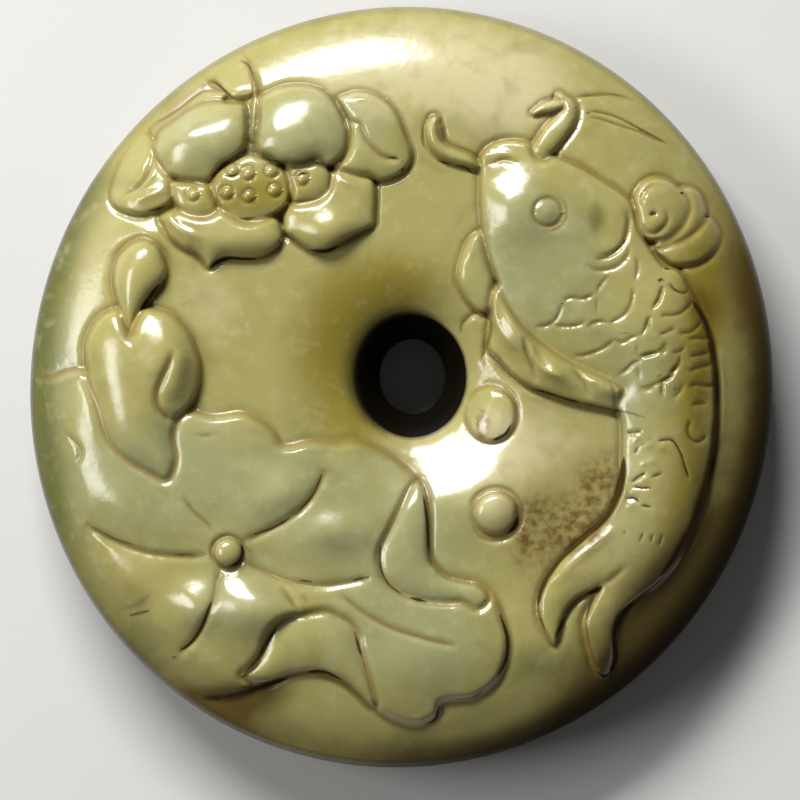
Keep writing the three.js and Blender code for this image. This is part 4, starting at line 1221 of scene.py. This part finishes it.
class Shell:
    """A mesh that grows ring by ring from the rim of its first part until it closes on itself."""

    def __init__(self, points: Array, triangles: Array, ring: Array) -> None:
        """Starts from a first part and the indices of its open ring."""
        self.points = [points]
        self.triangles = [triangles]
        self.total = len(points)
        self.last = ring

    def add(self, places: Array, height: float) -> None:
        """Joins one more ring of places, all at one height, to the last.

        Args:
            places: x and y of the ring.
            height: its height.
        """
        index = np.arange(self.total, self.total + len(places))
        self.points.append(np.column_stack([places, np.full(len(places), height)]))
        self.close(index)
        self.total += len(places)

    def close(self, ring: Array) -> None:
        """Joins the last ring to another, which becomes the last."""
        self.triangles.append(np.array(zip_rings(self.last, ring)))
        self.last = ring


def keep_mark(mesh: bpy.types.Mesh, name: str, values: Array) -> None:
    """Keeps one number for each point on the mesh, for the material."""
    mesh.attributes.new(name, "FLOAT", "POINT").data.foreach_set("value", values.astype(np.float32))


# ---- the disc ----------------------------------------------------------------------------------------


@dataclass(frozen=True)
class Funnel:
    """The straight slope into the hole on one side, where the rest has a round lip."""

    bearing: float = -62.0
    reach: float = 5.1
    slope: float = 0.215
    bend: float = 0.8
    lip_drop: float = 0.4
    lip_run: float = 1.4
    spread: float = 1.3
    fade: float = 1.5

    def drop(self, from_hole: Array, bearing: Array, lip: Array) -> Array:
        """Blends the slope into the round lip.

        Args:
            from_hole: distance of each point from the hole.
            bearing: bearing of each point from the middle of the hole.
            lip: how far the round lip drops at each point.

        Returns:
            How far the face drops at each point.
        """
        left_over = self.reach - from_hole
        cone = self.slope * (left_over + np.sqrt(left_over**2 + self.bend))
        lit = np.clip(self.spread * np.cos(bearing - math.radians(self.bearing)), 0, 1) ** self.fade
        edge = self.lip_drop * (1 - np.clip(from_hole / self.lip_run, 0, 1)) ** 2
        return lip * (1 - lit) + (cone + edge) * lit


@dataclass(frozen=True)
class Shade:
    """Painted shade: darkness down the hole and on its lip, and along the rim on the lower right."""

    well_bearing: float = 155.0
    well_narrow: float = 0.3
    well_wide: float = 1.55
    well_spread: float = 0.9
    well_from: Place = (3.5, 7.0)
    wall_within: float = 0.02
    back_height: float = 1.0
    edge_bearing: float = -0.65
    edge_run: Place = (2.2, 0.2)
    edge_spread: Place = (0.35, 0.95)
    arris_share: float = 0.25
    arris_run: float = 0.3
    edge_from: Place = (1.0, 3.0)

    def hole_shade(self, from_hole: Array, bearing: Array, height: Array) -> Array:
        """Painted shade round and down the hole, which reaches furthest on one side.

        Args:
            from_hole: distance of each point from the hole.
            bearing: bearing of each point from the middle of the hole.
            height: height of each point.

        Returns:
            Darkness of each point.
        """
        away = bearing - math.radians(self.well_bearing)
        away = np.arctan2(np.sin(away), np.cos(away)) * self.well_spread
        reach = self.well_narrow + self.well_wide * np.clip(np.cos(away), 0, 1)
        dark = ease(1.0, 0.0, from_hole / reach) * ease(*self.well_from, height)
        return np.maximum(dark, (from_hole < self.wall_within) & (height > self.back_height))

    def edge(self, from_rim: Array, bearing: Array, height: Array) -> Array:
        """Painted shade along the rim, with a fine painted dark line all round on the arris.

        Args:
            from_rim: distance of each point from the rim.
            bearing: bearing of each point from the middle of the disc.
            height: height of each point.

        Returns:
            Darkness of each point.
        """
        turn = ease(*self.edge_spread, np.cos(bearing - self.edge_bearing))
        dark = ease(*self.edge_run, from_rim) * turn + self.arris_share * ease(self.arris_run, 0.0, from_rim)
        return dark * ease(*self.edge_from, height)


@dataclass
class JadeDisc:
    """The whole stone: a plump pierced disc with the carving on its face, made as one closed mesh."""

    length: float = 59.1
    width: float = 57.4
    lean: float = 16.0
    rim_top: float = 7.0
    rim_foot: float = 3.6
    bulge: float = 0.35
    bulge_curve: float = 0.8
    rise: float = 3.3
    shoulder_run: float = 9.5
    shoulder_curve: float = 2.3
    lip_drop: float = 2.3
    lip_run: float = 5.2
    left_softening: float = 0.35
    left_reach: float = 6.0
    back_run: float = 8.5
    back_lip_run: float = 4.5
    back_lip_rise: float = 1.4
    hole: Place = (0.86, 0.82)
    hole_half: Place = (4.1, 4.65)
    waist: float = 0.62
    waist_curve: float = 1.6
    relief_from_rim: Place = (0.0, 3.2)
    relief_from_hole: Place = (0.0, 2.2)
    marks_from_rim: Place = (0.1, 1.2)
    marks_from_hole: Place = (0.0, 1.2)
    coarse: float = 0.34
    back_step: float = 1.0
    edge_steps: int = 8
    wall_steps: int = 14
    wall_count: int = 96
    search_steps: int = 12
    search_reach: float = 3.0
    flat_enough: Place = (0.006, 0.012)
    soil_seen: Place = (0.06, 0.25)
    groove_seen: float = 0.06

    def __post_init__(self) -> None:
        """Gathers the figures of the carving."""
        figures = (LotusLeaf(), SideLeaf(), LotusFlower(), Carp(), Beads())
        self.carving: list[Cut] = [cut for figure in figures for cut in figure.cuts()]
        self.ring = (self.length + self.width) / 4 - sum(self.hole_half) / 2

    def rim_place(self, angle: Array, inset: float | None = None) -> Array:
        """Gives places on the oval of the rim.

        Args:
            angle: angles from +X.
            inset: how far the oval is drawn in from the widest edge; as far as the arris if not given.

        Returns:
            x and y of each place.
        """
        inset = self.bulge if inset is None else inset
        lean = math.radians(90 - self.lean)
        c = np.cos(angle - lean) * (self.length / 2 - inset)
        s = np.sin(angle - lean) * (self.width / 2 - inset)
        return np.stack([c * math.cos(lean) - s * math.sin(lean), c * math.sin(lean) + s * math.cos(lean)], 1)

    def hole_place(self, angle: Array, scale: float = 1.0) -> Array:
        """Places on the oval of the hole, or a scaled one, at angles from +X."""
        (x, y), (half_x, half_y) = self.hole, self.hole_half
        return np.stack([x + half_x * scale * np.cos(angle), y + half_y * scale * np.sin(angle)], 1)

    def hole_bearing(self, xy: Array) -> Array:
        """Bearing of points from the middle of the hole."""
        return np.arctan2(xy[:, 1] - self.hole[1], xy[:, 0] - self.hole[0])

    def share_at(self, xy: Array) -> Array:
        """Finds the share of the way from the hole to the rim at which points lie.

        Args:
            xy: the points.

        Returns:
            0 at the hole and 1 at the rim.
        """
        turn = self.hole_bearing(xy)
        from_middle = np.hypot(xy[:, 0] - self.hole[0], xy[:, 1] - self.hole[1])
        reach = np.maximum(self.search_reach, from_middle)
        share = np.zeros(len(xy))
        for _ in range(self.search_steps):
            inner, outer = self.hole_place(turn), self.rim_place(turn)
            way = outer - inner
            square = (way**2).sum(1)
            from_inner = xy - inner
            share = (from_inner * way).sum(1) / square
            aside = way[:, 0] * from_inner[:, 1] - way[:, 1] * from_inner[:, 0]
            turn = turn + aside / np.sqrt(square) / reach
        return np.clip(share, 0.0, 1.0)

    def carve(self, xy: Array) -> tuple[Array, Face]:
        """Works the face.

        Args:
            xy: points on the carved side.

        Returns:
            Height of each point, and the marks that the carving left there.
        """
        face = Face(xy)
        for cut in self.carving:
            cut.apply(face)
        share = self.share_at(xy)
        from_rim, from_hole = (1 - share) * self.ring, share * self.ring
        rise = self.rise * (1 - (1 - np.clip(from_rim / self.shoulder_run, 0, 1)) ** self.shoulder_curve)
        softer = 1 + self.left_softening * np.clip(-(xy[:, 0] - self.hole[0]) / self.left_reach, 0, 1)
        lip = self.lip_drop * (1 - np.clip(from_hole / (self.lip_run * softer), 0, 1)) ** 2
        drop = Funnel().drop(from_hole, self.hole_bearing(xy), lip)
        live = ease(*self.relief_from_rim, from_rim) * ease(*self.relief_from_hole, from_hole)
        marks = ease(*self.marks_from_rim, from_rim) * ease(*self.marks_from_hole, from_hole)
        face.groove *= marks
        face.soil *= marks
        return self.rim_top + rise - drop + face.height * live, face

    def back_height(self, share: float) -> float:
        """Height of the plain back: flat to rest on, rounded at the rim and at the hole."""
        margin = self.rim_foot * (1 - min(1.0, (1 - share) * self.ring / self.back_run)) ** 2
        return margin + self.back_lip_rise * (1 - min(1.0, share * self.ring / self.back_lip_run)) ** 2

    def flat_ring(self, share: float, step: float, odd: bool) -> Array:
        """Gives the places of one ring between the hole and the rim.

        Args:
            share: 0 at the hole and 1 at the rim.
            step: distance wanted between its places.
            odd: whether it is turned by half a step.

        Returns:
            x and y of each place.
        """
        girth = 2 * math.pi * (sum(self.hole_half) / 2 + share * self.ring)
        count = 2 * round(girth / step / 2)
        angle = (np.arange(count) + 0.5 * odd) / count * 2 * math.pi
        return self.hole_place(angle) * (1 - share) + self.rim_place(angle) * share

    def face_mesh(self) -> tuple[Array, Array, Face, Array, Array, Array]:
        """Meshes the carved side, finely where the carving turns sharply.

        Returns:
            Points, heights, the worked face, triangles, and the indices of the hole's and the rim's rings.
        """
        count = round(self.ring / self.coarse)
        rings = [self.flat_ring(k / count, self.coarse, k % 2 == 1) for k in range(count + 1)]
        starts = np.cumsum([0] + [len(r) for r in rings])
        index = [np.arange(start, stop) for start, stop in zip(starts, starts[1:])]
        xy = np.concatenate(rings)
        triangles = np.array([t for inner, outer in zip(index, index[1:]) for t in zip_rings(inner, outer)])
        for level, (flat_enough, soil_seen) in enumerate(zip(self.flat_enough, self.soil_seen)):
            pairs = np.concatenate([triangles[:, [0, 1]], triangles[:, [1, 2]], triangles[:, [2, 0]]])
            unique, back = np.unique(np.sort(pairs, 1), axis=0, return_inverse=True)
            use = np.bincount(back.ravel(), minlength=len(unique))
            height, face = self.carve(xy)
            middle = (xy[unique[:, 0]] + xy[unique[:, 1]]) / 2
            middle_height, middle_face = self.carve(middle)
            miss = np.abs(middle_height - (height[unique[:, 0]] + height[unique[:, 1]]) / 2)
            marked = (middle_face.groove > self.groove_seen) & (level == 0) | (middle_face.soil > soil_seen)
            wanted = (use == 2) & ((miss > flat_enough) | marked)
            triangles = refine(len(xy), triangles, wanted, back.reshape(3, -1).T)
            xy = np.concatenate([xy, middle[wanted]])
            LOG.info("carved side, level %d: %d points, %d triangles", level, len(xy), len(triangles))
        height, face = self.carve(xy)
        return xy, height, face, triangles, index[0], index[-1]

    def wrap(self, shell: Shell, lip: Array) -> None:
        """Leads the mesh down the edge, along the back and up the wall of the hole.

        Args:
            shell: the carved side, open at its rim.
            lip: indices of its ring at the hole.
        """
        odd = round(self.ring / self.coarse) % 2
        angle = (np.arange(len(shell.last)) + 0.5 * odd) / len(shell.last) * 2 * math.pi
        for k in range(1, self.edge_steps):
            t = k / self.edge_steps
            inset = self.bulge * (1 - math.sin(math.pi * t) ** self.bulge_curve)
            shell.add(self.rim_place(angle, inset), self.rim_top - (self.rim_top - self.rim_foot) * t)
        shell.add(self.rim_place(angle), self.rim_foot)
        count = round(self.ring / self.back_step)
        for k in range(1, count + 1):
            share = 1 - k / count
            shell.add(self.flat_ring(share, self.back_step, k % 2 == 1), self.back_height(share))
        lip_top = self.rim_top + self.rise - self.lip_drop
        turns = np.arange(self.wall_count) / self.wall_count * 2 * math.pi
        for k in range(1, self.wall_steps):
            t = 1 - k / self.wall_steps
            scale = self.waist + (1 - self.waist) * abs(2 * t - 1) ** self.waist_curve
            shell.add(self.hole_place(turns, scale), lip_top + (self.back_lip_rise - lip_top) * t)
        shell.close(lip)

    def build(self) -> bpy.types.Object:
        """Builds the closed stone, as tall as the solid.

        Returns:
            The stone, with the marks of the carving and the painted shade of the hole and the rim kept on its
            mesh.
        """
        xy, height, face, triangles, lip, rim = self.face_mesh()
        shell = Shell(np.column_stack([xy, height]), triangles, rim)
        self.wrap(shell, lip)
        points = np.concatenate(shell.points)
        low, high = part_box(NODE)
        points[:, 2] = (points[:, 2] - points[:, 2].min()) / np.ptp(points[:, 2]) * (high[2] - low[2]) / MM
        mesh = bpy.data.meshes.new("carved_stone")
        mesh.from_pydata((points * MM).tolist(), [], np.concatenate(shell.triangles).tolist())
        mesh.validate()
        mesh.polygons.foreach_set("use_smooth", np.ones(len(mesh.polygons), bool))
        plain = np.zeros(len(points) - len(xy))
        keep_mark(mesh, "groove", np.concatenate([face.groove, plain]))
        keep_mark(mesh, "soil", np.concatenate([face.soil, plain]))
        from_hole = self.share_at(points[:, :2]) * self.ring
        bearing = np.arctan2(points[:, 1], points[:, 0])
        # Painted shade down the hole and along the rim, kept on the mesh for the material.
        shade = Shade()
        keep_mark(mesh, "hole_shade", shade.hole_shade(from_hole, self.hole_bearing(points), points[:, 2]))
        keep_mark(mesh, "edge", shade.edge(self.ring - from_hole, bearing, points[:, 2]))
        JadeColours().paint(mesh, points[:, :2])
        mesh.update()
        disc = bpy.data.objects.new("carved_stone", mesh)
        bpy.context.scene.collection.objects.link(disc)
        LOG.info("stone: %d points, %d triangles", len(points), len(mesh.polygons))
        return disc

    def dress(self, stone: bpy.types.Object) -> None:
        """Gives the stone its material."""
        stone.data.materials.append(JadeFinish().make())


# ---- the finish --------------------------------------------------------------------------------------


class Socket:
    """A shader output on which Python arithmetic builds nodes."""

    def __init__(self, tree: "Tree", out: bpy.types.NodeSocket) -> None:
        """Keeps the tree and the output."""
        self.tree = tree
        self.out = out

    def _maths(self, operation: str, *values: Any) -> "Socket":
        """Adds one Math node."""
        return self.tree.node("ShaderNodeMath", {"operation": operation}, dict(enumerate(values)))

    def __add__(self, other: Any) -> "Socket":
        """Sum."""
        return self._maths("ADD", self, other)

    def __sub__(self, other: Any) -> "Socket":
        """Difference."""
        return self._maths("SUBTRACT", self, other)

    def __mul__(self, other: Any) -> "Socket":
        """Product."""
        return self._maths("MULTIPLY", self, other)

    def clamp(self) -> "Socket":
        """Held between 0 and 1."""
        return self.tree.node("ShaderNodeClamp", {}, {0: self})

    def ramp(self, low: float, high: float) -> "Socket":
        """Rises smoothly from 0 at low to 1 at high."""
        inputs = {"Value": self, "From Min": low, "From Max": high}
        return self.tree.node("ShaderNodeMapRange", {"interpolation_type": "SMOOTHSTEP"}, inputs)


class Tree:
    """The node tree of one material."""

    def __init__(self, name: str) -> None:
        """Makes an empty material."""
        self.material = bpy.data.materials.new(name)
        self.material.use_nodes = True
        self.nodes = self.material.node_tree.nodes
        self.links = self.material.node_tree.links
        self.nodes.clear()

    def node(self, kind: str, settings: dict[str, Any], inputs: dict[Any, Any], output: Any = 0) -> Socket:
        """Adds a node.

        Args:
            kind: the node's type.
            settings: its own settings, set first.
            inputs: values or links of its sockets, by index or name.
            output: which of its outputs to return.

        Returns:
            The output as a socket.
        """
        made = self.nodes.new(kind)
        for key, value in settings.items():
            setattr(made, key, value)
        for key, value in inputs.items():
            if isinstance(value, Socket):
                self.links.new(value.out, made.inputs[key])
            else:
                made.inputs[key].default_value = value
        return Socket(self, made.outputs[output])

    def attribute(self, name: str) -> Socket:
        """A mark of the carving, kept on the mesh."""
        return self.node("ShaderNodeAttribute", {"attribute_name": name}, {}, "Fac")

    def place(self) -> Socket:
        """Where a point lies in the object's own frame."""
        return self.node("ShaderNodeTexCoord", {}, {}, "Object")

    def noise(
        self, where: Socket, scale: float, detail: float, rough: float = 0.55, warp: float = 0.0
    ) -> Socket:
        """Makes cloudy noise.

        Args:
            where: the place of each point.
            scale: features in a metre.
            detail: how many finer layers it has.
            rough: strength of each finer layer.
            warp: how far it is distorted.

        Returns:
            The noise, from 0 to 1.
        """
        inputs = {"Vector": where, "Scale": scale, "Detail": detail, "Roughness": rough, "Distortion": warp}
        return self.node("ShaderNodeTexNoise", {}, inputs, "Fac")

    def finish(self, shader: Socket) -> None:
        """Sends the shader to the material's surface."""
        out = self.nodes.new("ShaderNodeOutputMaterial")
        self.links.new(shader.out, out.inputs["Surface"])

    def mix(self, share: Any, low: Any, high: Any) -> Socket:
        """Blends two colours."""
        settings = {"data_type": "RGBA", "clamp_factor": True}
        return self.node("ShaderNodeMix", settings, {0: share, 6: low, 7: high}, 2)


Colour = tuple[float, float, float, float]


def tint(red: int, green: int, blue: int) -> Colour:
    """A colour given as 0 to 255 on a screen."""
    parts = [c / 255 for c in (red, green, blue)]
    return (*(c / 12.92 if c <= 0.04045 else ((c + 0.055) / 1.055) ** 2.4 for c in parts), 1.0)


@dataclass(frozen=True)
class RimStain:
    """A patch of colour that follows the rim on both sides of a bearing from +X, in degrees."""

    middle: float
    spread: float
    depth: float
    strength: float = 1.0
    rim: float = 29.1

    def over(self, xy: Array) -> Array:
        """Finds the strength of the patch.

        Args:
            xy: the points.

        Returns:
            Strength at each point.
        """
        bearing = np.degrees(np.arctan2(xy[:, 1], xy[:, 0]))
        off = (bearing - self.middle + 180) % 360 - 180
        from_rim = np.maximum(0.0, self.rim - np.hypot(xy[:, 0], xy[:, 1]))
        return self.strength * np.exp(-((off / self.spread) ** 4)) * np.exp(-((from_rim / self.depth) ** 2))


@dataclass(frozen=True)
class JadeColours:
    """Where the colours of this stone lie; some pale patches are painted highlight and some dark brown is
    painted shade.
    """

    zones: tuple[tuple[str, tuple[Any, ...]], ...] = (
        # Pale stone, and painted highlight in the patches marked below.
        ("cream_and_painted_highlight", (
            Patch((0, 24.5), (8.5, 4.5)),
            Patch((9, 22.5), (5, 4), -20, 0.8),
            Patch((-15, 20.5), (5, 4), 20, 0.35),
            Patch((-23, 11), (3.5, 6), -20, 0.45),
            Patch((-15, -2.5), (2.5, 1.6), 0, 0.4),
            # Painted highlight: paler ground beside the side leaf where it gleams.
            Patch((-14.5, 6), (3, 4.5), 10, 0.55),
            # Painted highlight: the gleam on the slope below and right of the hole.
            Patch((4.5, -6), (6, 3), -20, 0.7),
            Patch((7.1, -9.7), (1.8, 1.8), 0, 0.45),
            # Painted highlight: the same gleam reaching towards the fin.
            Patch((8.5, -4.5), (3.5, 2.5), 0, 0.5),
            Patch((18.3, -6), (1.8, 3.5), 0, 0.4),
            # Painted highlight beside the carp's belly.
            Patch((12, -4), (4, 3), 0, 0.45),
            Patch((6.9, -2.1), (1.8, 2), 0, 0.4),
            # Painted highlight on the rise of the leaf below its knob.
            Patch((-12, -16), (4, 2), 0, 0.4),
            Patch((8.3, -17.3), (1.5, 0.8), 0, 0.4),
            Patch((11, -20.8), (2, 1), 0, 0.35),
        )),
        ("moss", (
            RimStain(170, 28, 2.8, 1.1),
            RimStain(212, 24, 2.6, 0.7),
            Patch((-2, 5.5), (3.5, 1.5), 0, 0.25),
            Patch((13, 4.5), (3.5, 2), -20, 0.3),
            Patch((15, 12.9), (0.9, 1.6), 0, 0.8),
            Patch((21, 2), (3.5, 6), 0, 0.5),
            Patch((10, -21.5), (4, 2.5), 10, 0.6),
            Patch((-14.5, -9), (3, 2), 0, 0.3),
        )),
        ("umber_and_shade", (
            # Dark brown of the stone; on the right and lower right rim it also stands in for painted shade
            # where the rim turns from the lamps.
            RimStain(-14, 34, 4.6, 1.0),
            RimStain(-46, 20, 5.5, 1.0),
            RimStain(-92, 34, 3.0, 0.55),
            RimStain(24, 14, 3.5, 0.6),
            Patch((-12.5, -24), (4.5, 1.5), 12, 1.0),
            Patch((-19.8, -16.6), (1.8, 1.2), 30, 0.4),
            # Along the carp's back: brown of the stone and painted shade on the side turned from the lamps.
            Patch((22.6, 6.6), (1.2, 2), 20, 0.45),
            Patch((22.9, 1), (1.1, 6), -5, 0.5),
            Patch((23, -8), (0.9, 4), -15, 0.4),
            Patch((21.2, -14.5), (1.6, 4.5), -35, 0.45),
            Patch((-18, 22), (2.6, 1), 38, 0.35),
            RimStain(230, 20, 1.4, 0.5),
            Patch((21.5, -19), (3.5, 2), 40, 0.5),
        )),
        ("russet", (
            Patch((15.3, -8), (1.3, 3.0), -15, 0.9),
            Patch((12.3, -10.5), (3.6, 2.2), -20, 0.85),
            Patch((10.0, -12.6), (1.7, 3.2), 0, 0.7),
            Patch((13.9, -6.5), (2.2, 2.4), 0, 0.35),
            Patch((6.2, -2.9), (0.5, 1.1), 0, 1.4),
        )),
        ("celadon", (
            Patch((-15.5, 19), (4.5, 3.5), 0, 0.7),
            Patch((-7.5, 20), (4, 3.5), 0, 0.8),
            Patch((-2, 20), (2, 2.5), 20, 0.5),
            Patch((-4, -9), (9, 5), -10, 1.0),
            Patch((-18, -7), (6, 5), 20, 0.85),
            Patch((0, -19), (7, 5), 0, 0.9),
            Patch((-13, -17), (4.5, 3), 0, 0.6),
            Patch((11, 10), (5, 7), 10, 1.0),
            Patch((18, -1), (3, 5), 0, 0.7),
            Patch((17, -11), (3, 4), 20, 0.5),
            Patch((-27.5, 3), (3, 8), 0, 0.9),
            Patch((-24, -8), (3, 4), 0, 0.4),
        )),
        ("honey", (
            Patch((-11.5, 15), (5.5, 2.2), 0, 0.8),
            Patch((-5, 3), (4.5, 6), 0, 0.85),
            Patch((0, 8), (5, 3.5), 0, 0.65),
            Patch((-3, -3), (4, 2.5), 0, 0.5),
            Patch((-22, -14), (3, 3), 0, 0.2),
            Patch((23, 9), (3, 6), 20, 0.6),
            Patch((22.6, 0), (1.8, 9), -5, 0.9),
            Patch((20.6, -10.5), (1.6, 4), -20, 0.5),
        )),
    )

    def paint(self, mesh: bpy.types.Mesh, xy: Array) -> None:
        """Keeps each colour's share at every point on the mesh.

        Args:
            mesh: the stone's mesh.
            xy: its points.
        """
        for name, patches in self.zones:
            keep_mark(mesh, name, np.clip(sum(patch.over(xy) for patch in patches), 0.0, 1.0))


@dataclass(frozen=True)
class JadeFinish:
    """Polished old jade: celadon and olive with pale, russet and dark brown clouds, and soil in the cuts;
    some pale clouds are painted highlight, some dark brown is painted shade, and the hole and the rim carry
    painted shade.
    """

    olive: Colour = tint(149, 142, 86)
    celadon: Colour = tint(141, 140, 97)
    moss: Colour = tint(92, 94, 50)
    cream_and_painted_highlight: Colour = tint(178, 170, 128)
    honey: Colour = tint(131, 118, 42)
    russet: Colour = tint(98, 74, 32)
    umber_and_shade: Colour = tint(76, 58, 6)
    gold: Colour = tint(116, 90, 28)
    soil: Colour = tint(44, 28, 2)
    # The next two colours are painted shade: the dark down the hole and the dark along the rim.
    hole_shade: Colour = tint(10, 7, 3)
    edge: Colour = tint(34, 27, 3)
    cloud_scale: float = 110
    blotch_scale: float = 230
    mottle_scale: float = 700
    fleck_scale: float = 1900
    roughness: float = 0.2
    refraction: float = 1.55
    bump_strength: float = 0.25
    bump_height: float = 0.00008
    glow_weight: float = 0.25
    glow_depth: float = 0.0012
    glow_reach: Place = (1.0, 0.9, 0.4)
    dull_roughness: float = 0.6
    dull_refraction: float = 1.12

    def make(self) -> bpy.types.Material:
        """Builds the material: polished stone, and a dull surface for soil and for the painted shade down the
        hole and along the rim.

        Returns:
            The material.
        """
        tree = Tree("old_jade")
        where = tree.place()
        cloud = tree.noise(where, self.cloud_scale, 4, 0.55, 0.4)
        mottle = tree.noise(where, self.mottle_scale, 3, 0.5)
        fleck = tree.noise(where, self.fleck_scale, 2, 0.5)
        blotch = tree.noise(where, self.blotch_scale, 3, 0.6, 0.8)
        groove, hole_shade, edge = (tree.attribute(name) for name in ("groove", "hole_shade", "edge"))

        def zone(name: str, low: float, high: float, grain: float = 0.5) -> Socket:
            """Breaks up the edge of a colour's patches by the clouds in the stone.

            Args:
                name: the colour.
                low: share at which it starts to show.
                high: share at which it is full.
                grain: how far the clouds move its edge.

            Returns:
                The colour's share.
            """
            share = tree.attribute(name)
            broken = share + (cloud - 0.5) * grain + (mottle - 0.5) * grain * 0.5
            return broken.ramp(low, high) * share.ramp(0.02, 0.2)

        speck = (fleck * 0.6 + mottle * 0.4).ramp(0.36, 0.66)
        layers = (
            (zone("celadon", 0.15, 0.75), self.celadon),
            (zone("moss", 0.15, 0.9), self.moss),
            (zone("honey", 0.2, 0.9), self.honey),
            (zone("cream_and_painted_highlight", 0.15, 1.0), self.cream_and_painted_highlight),
            ((mottle * 0.7 + fleck * 0.3).ramp(0.5, 0.68) * 0.22, self.cream_and_painted_highlight),
            ((mottle * 0.5 + cloud * 0.5).ramp(0.5, 0.3) * 0.3, self.honey),
            (blotch.ramp(0.5, 0.72) * 0.22, self.moss),
            (zone("russet", 0.1, 0.9, 0.6) * (speck * 0.75 + 0.2), self.russet),
            (zone("umber_and_shade", 0.15, 1.0, 0.7) * 0.9, self.umber_and_shade),
            (groove * 0.62, self.gold),
            # Painted shade along the rim and down the hole.
            (edge * 0.6, self.edge),
            (hole_shade, self.hole_shade),
        )
        colour: Any = self.olive
        for share, tone in layers:
            colour = tree.mix(share, colour, tone)
        bump = {"Strength": self.bump_strength, "Distance": self.bump_height, "Height": fleck * 0.5 + mottle}
        stone = {
            "Base Color": colour,
            "Roughness": groove * 0.1 + self.roughness + (mottle - 0.5) * 0.06,
            "IOR": self.refraction,
            "Normal": tree.node("ShaderNodeBump", {}, bump),
            "Subsurface Weight": self.glow_weight,
            "Subsurface Radius": self.glow_reach,
            "Subsurface Scale": self.glow_depth,
        }
        # A dull surface for soil in the cuts and for the painted shade of the rim and the hole.
        soil_and_shade = {
            "Base Color": tree.mix(edge, tree.mix(hole_shade, self.soil, self.hole_shade), self.edge),
            "Roughness": self.dull_roughness,
            "IOR": self.dull_refraction,
        }
        polished, dull = (tree.node("ShaderNodeBsdfPrincipled", {}, inputs) for inputs in (stone, soil_and_shade))
        patchy = (cloud * 0.5 + mottle * 0.5).ramp(0.35, 0.6)
        soil = (tree.attribute("soil") * (patchy * 0.3 + 0.75)).ramp(0.12, 0.8)
        # Soil, and the painted shade of the hole and the rim, turn the surface dull.
        dimmed = (soil * 0.92 + hole_shade.ramp(0.7, 1.0) + edge * 0.8).clamp()
        tree.finish(tree.node("ShaderNodeMixShader", {}, {0: dimmed, 1: polished, 2: dull}))
        return tree.material


# ---- the studio --------------------------------------------------------------------------------------


@dataclass(frozen=True)
class SoftBox:
    """A soft rectangular lamp that faces the disc, at a bearing from +X and a lean from straight up."""

    name: str
    bearing: float
    lean: float
    size: Place
    power: float
    reach: float = 0.5

    def hang(self) -> None:
        """Hangs the lamp."""
        b, t = math.radians(self.bearing), math.radians(self.lean)
        aside = self.reach * math.sin(t)
        light = bpy.data.lights.new(self.name, "AREA")
        light.shape = "RECTANGLE"
        light.size, light.size_y = self.size
        light.energy = self.power
        lamp = bpy.data.objects.new(self.name, light)
        lamp.location = (aside * math.cos(b), aside * math.sin(b), self.reach * math.cos(t))
        lamp.rotation_euler = (-lamp.location).to_track_quat("-Z", "Y").to_euler()
        bpy.context.scene.collection.objects.link(lamp)


@dataclass(frozen=True)
class Studio:
    """A pale floor, soft lamps and the camera that looks straight down on the carving."""

    span: float = 0.0619
    aim: Place = (-0.0001, -0.001)
    height: float = 0.6
    focus: float = 0.006
    sensor: float = 36.0
    floor_half: float = 1.2
    floor_gap: float = 0.00002
    floor_scale: float = 40
    floor_tones: tuple[Colour, Colour] = ((0.5, 0.495, 0.48, 1.0), (0.54, 0.535, 0.52, 1.0))
    floor_roughness: float = 0.7
    room_light: float = 0.1
    lamps: tuple[SoftBox, ...] = (
        SoftBox("top_box", 112, 51, (0.3, 0.14), 4.3),
        SoftBox("left_box", 178, 49, (0.24, 0.14), 1.15),
    )

    def floor(self) -> None:
        """Lays the floor."""
        mesh = bpy.data.meshes.new("floor")
        half = self.floor_half
        corners = [(-half, -half, 0), (half, -half, 0), (half, half, 0), (-half, half, 0)]
        mesh.from_pydata(corners, [], [(0, 1, 2, 3)])
        slab = bpy.data.objects.new("floor", mesh)
        slab.location.z = -self.floor_gap
        bpy.context.scene.collection.objects.link(slab)
        tree = Tree("pale_floor")
        tone = tree.mix(tree.noise(tree.place(), self.floor_scale, 4), *self.floor_tones)
        inputs = {"Base Color": tone, "Roughness": self.floor_roughness}
        tree.finish(tree.node("ShaderNodeBsdfPrincipled", {}, inputs))
        mesh.materials.append(tree.material)

    def light(self) -> None:
        """Hangs the lamps and sets the dim room light."""
        for lamp in self.lamps:
            lamp.hang()
        world = bpy.data.worlds.new("room")
        world.use_nodes = True
        background = world.node_tree.nodes["Background"]
        background.inputs["Color"].default_value = (1, 1, 1, 1)
        background.inputs["Strength"].default_value = self.room_light
        bpy.context.scene.world = world
        bpy.context.scene.view_settings.view_transform = "Standard"

    def camera(self) -> None:
        """Sets the camera above the disc, framed to its rim."""
        data = bpy.data.cameras.new("camera")
        data.sensor_width = self.sensor
        data.lens = self.sensor * self.height / self.span
        seen = bpy.data.objects.new("camera", data)
        seen.location = (*self.aim, self.height + self.focus)
        bpy.context.scene.collection.objects.link(seen)
        bpy.context.scene.camera = seen


def main() -> None:
    """Builds the stone, dresses it and sets up the studio."""
    logging.basicConfig(level=logging.INFO, format="%(name)s: %(message)s")
    disc = JadeDisc()
    stone = disc.build()
    disc.dress(stone)
    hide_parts(NODE)
    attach(stone, "root")
    LOG.info("carved_stone rides on root")
    studio = Studio()
    studio.floor()
    studio.light()
    studio.camera()
    LOG.info("floor, lamps and camera set")


if __name__ == "__main__":
    main()
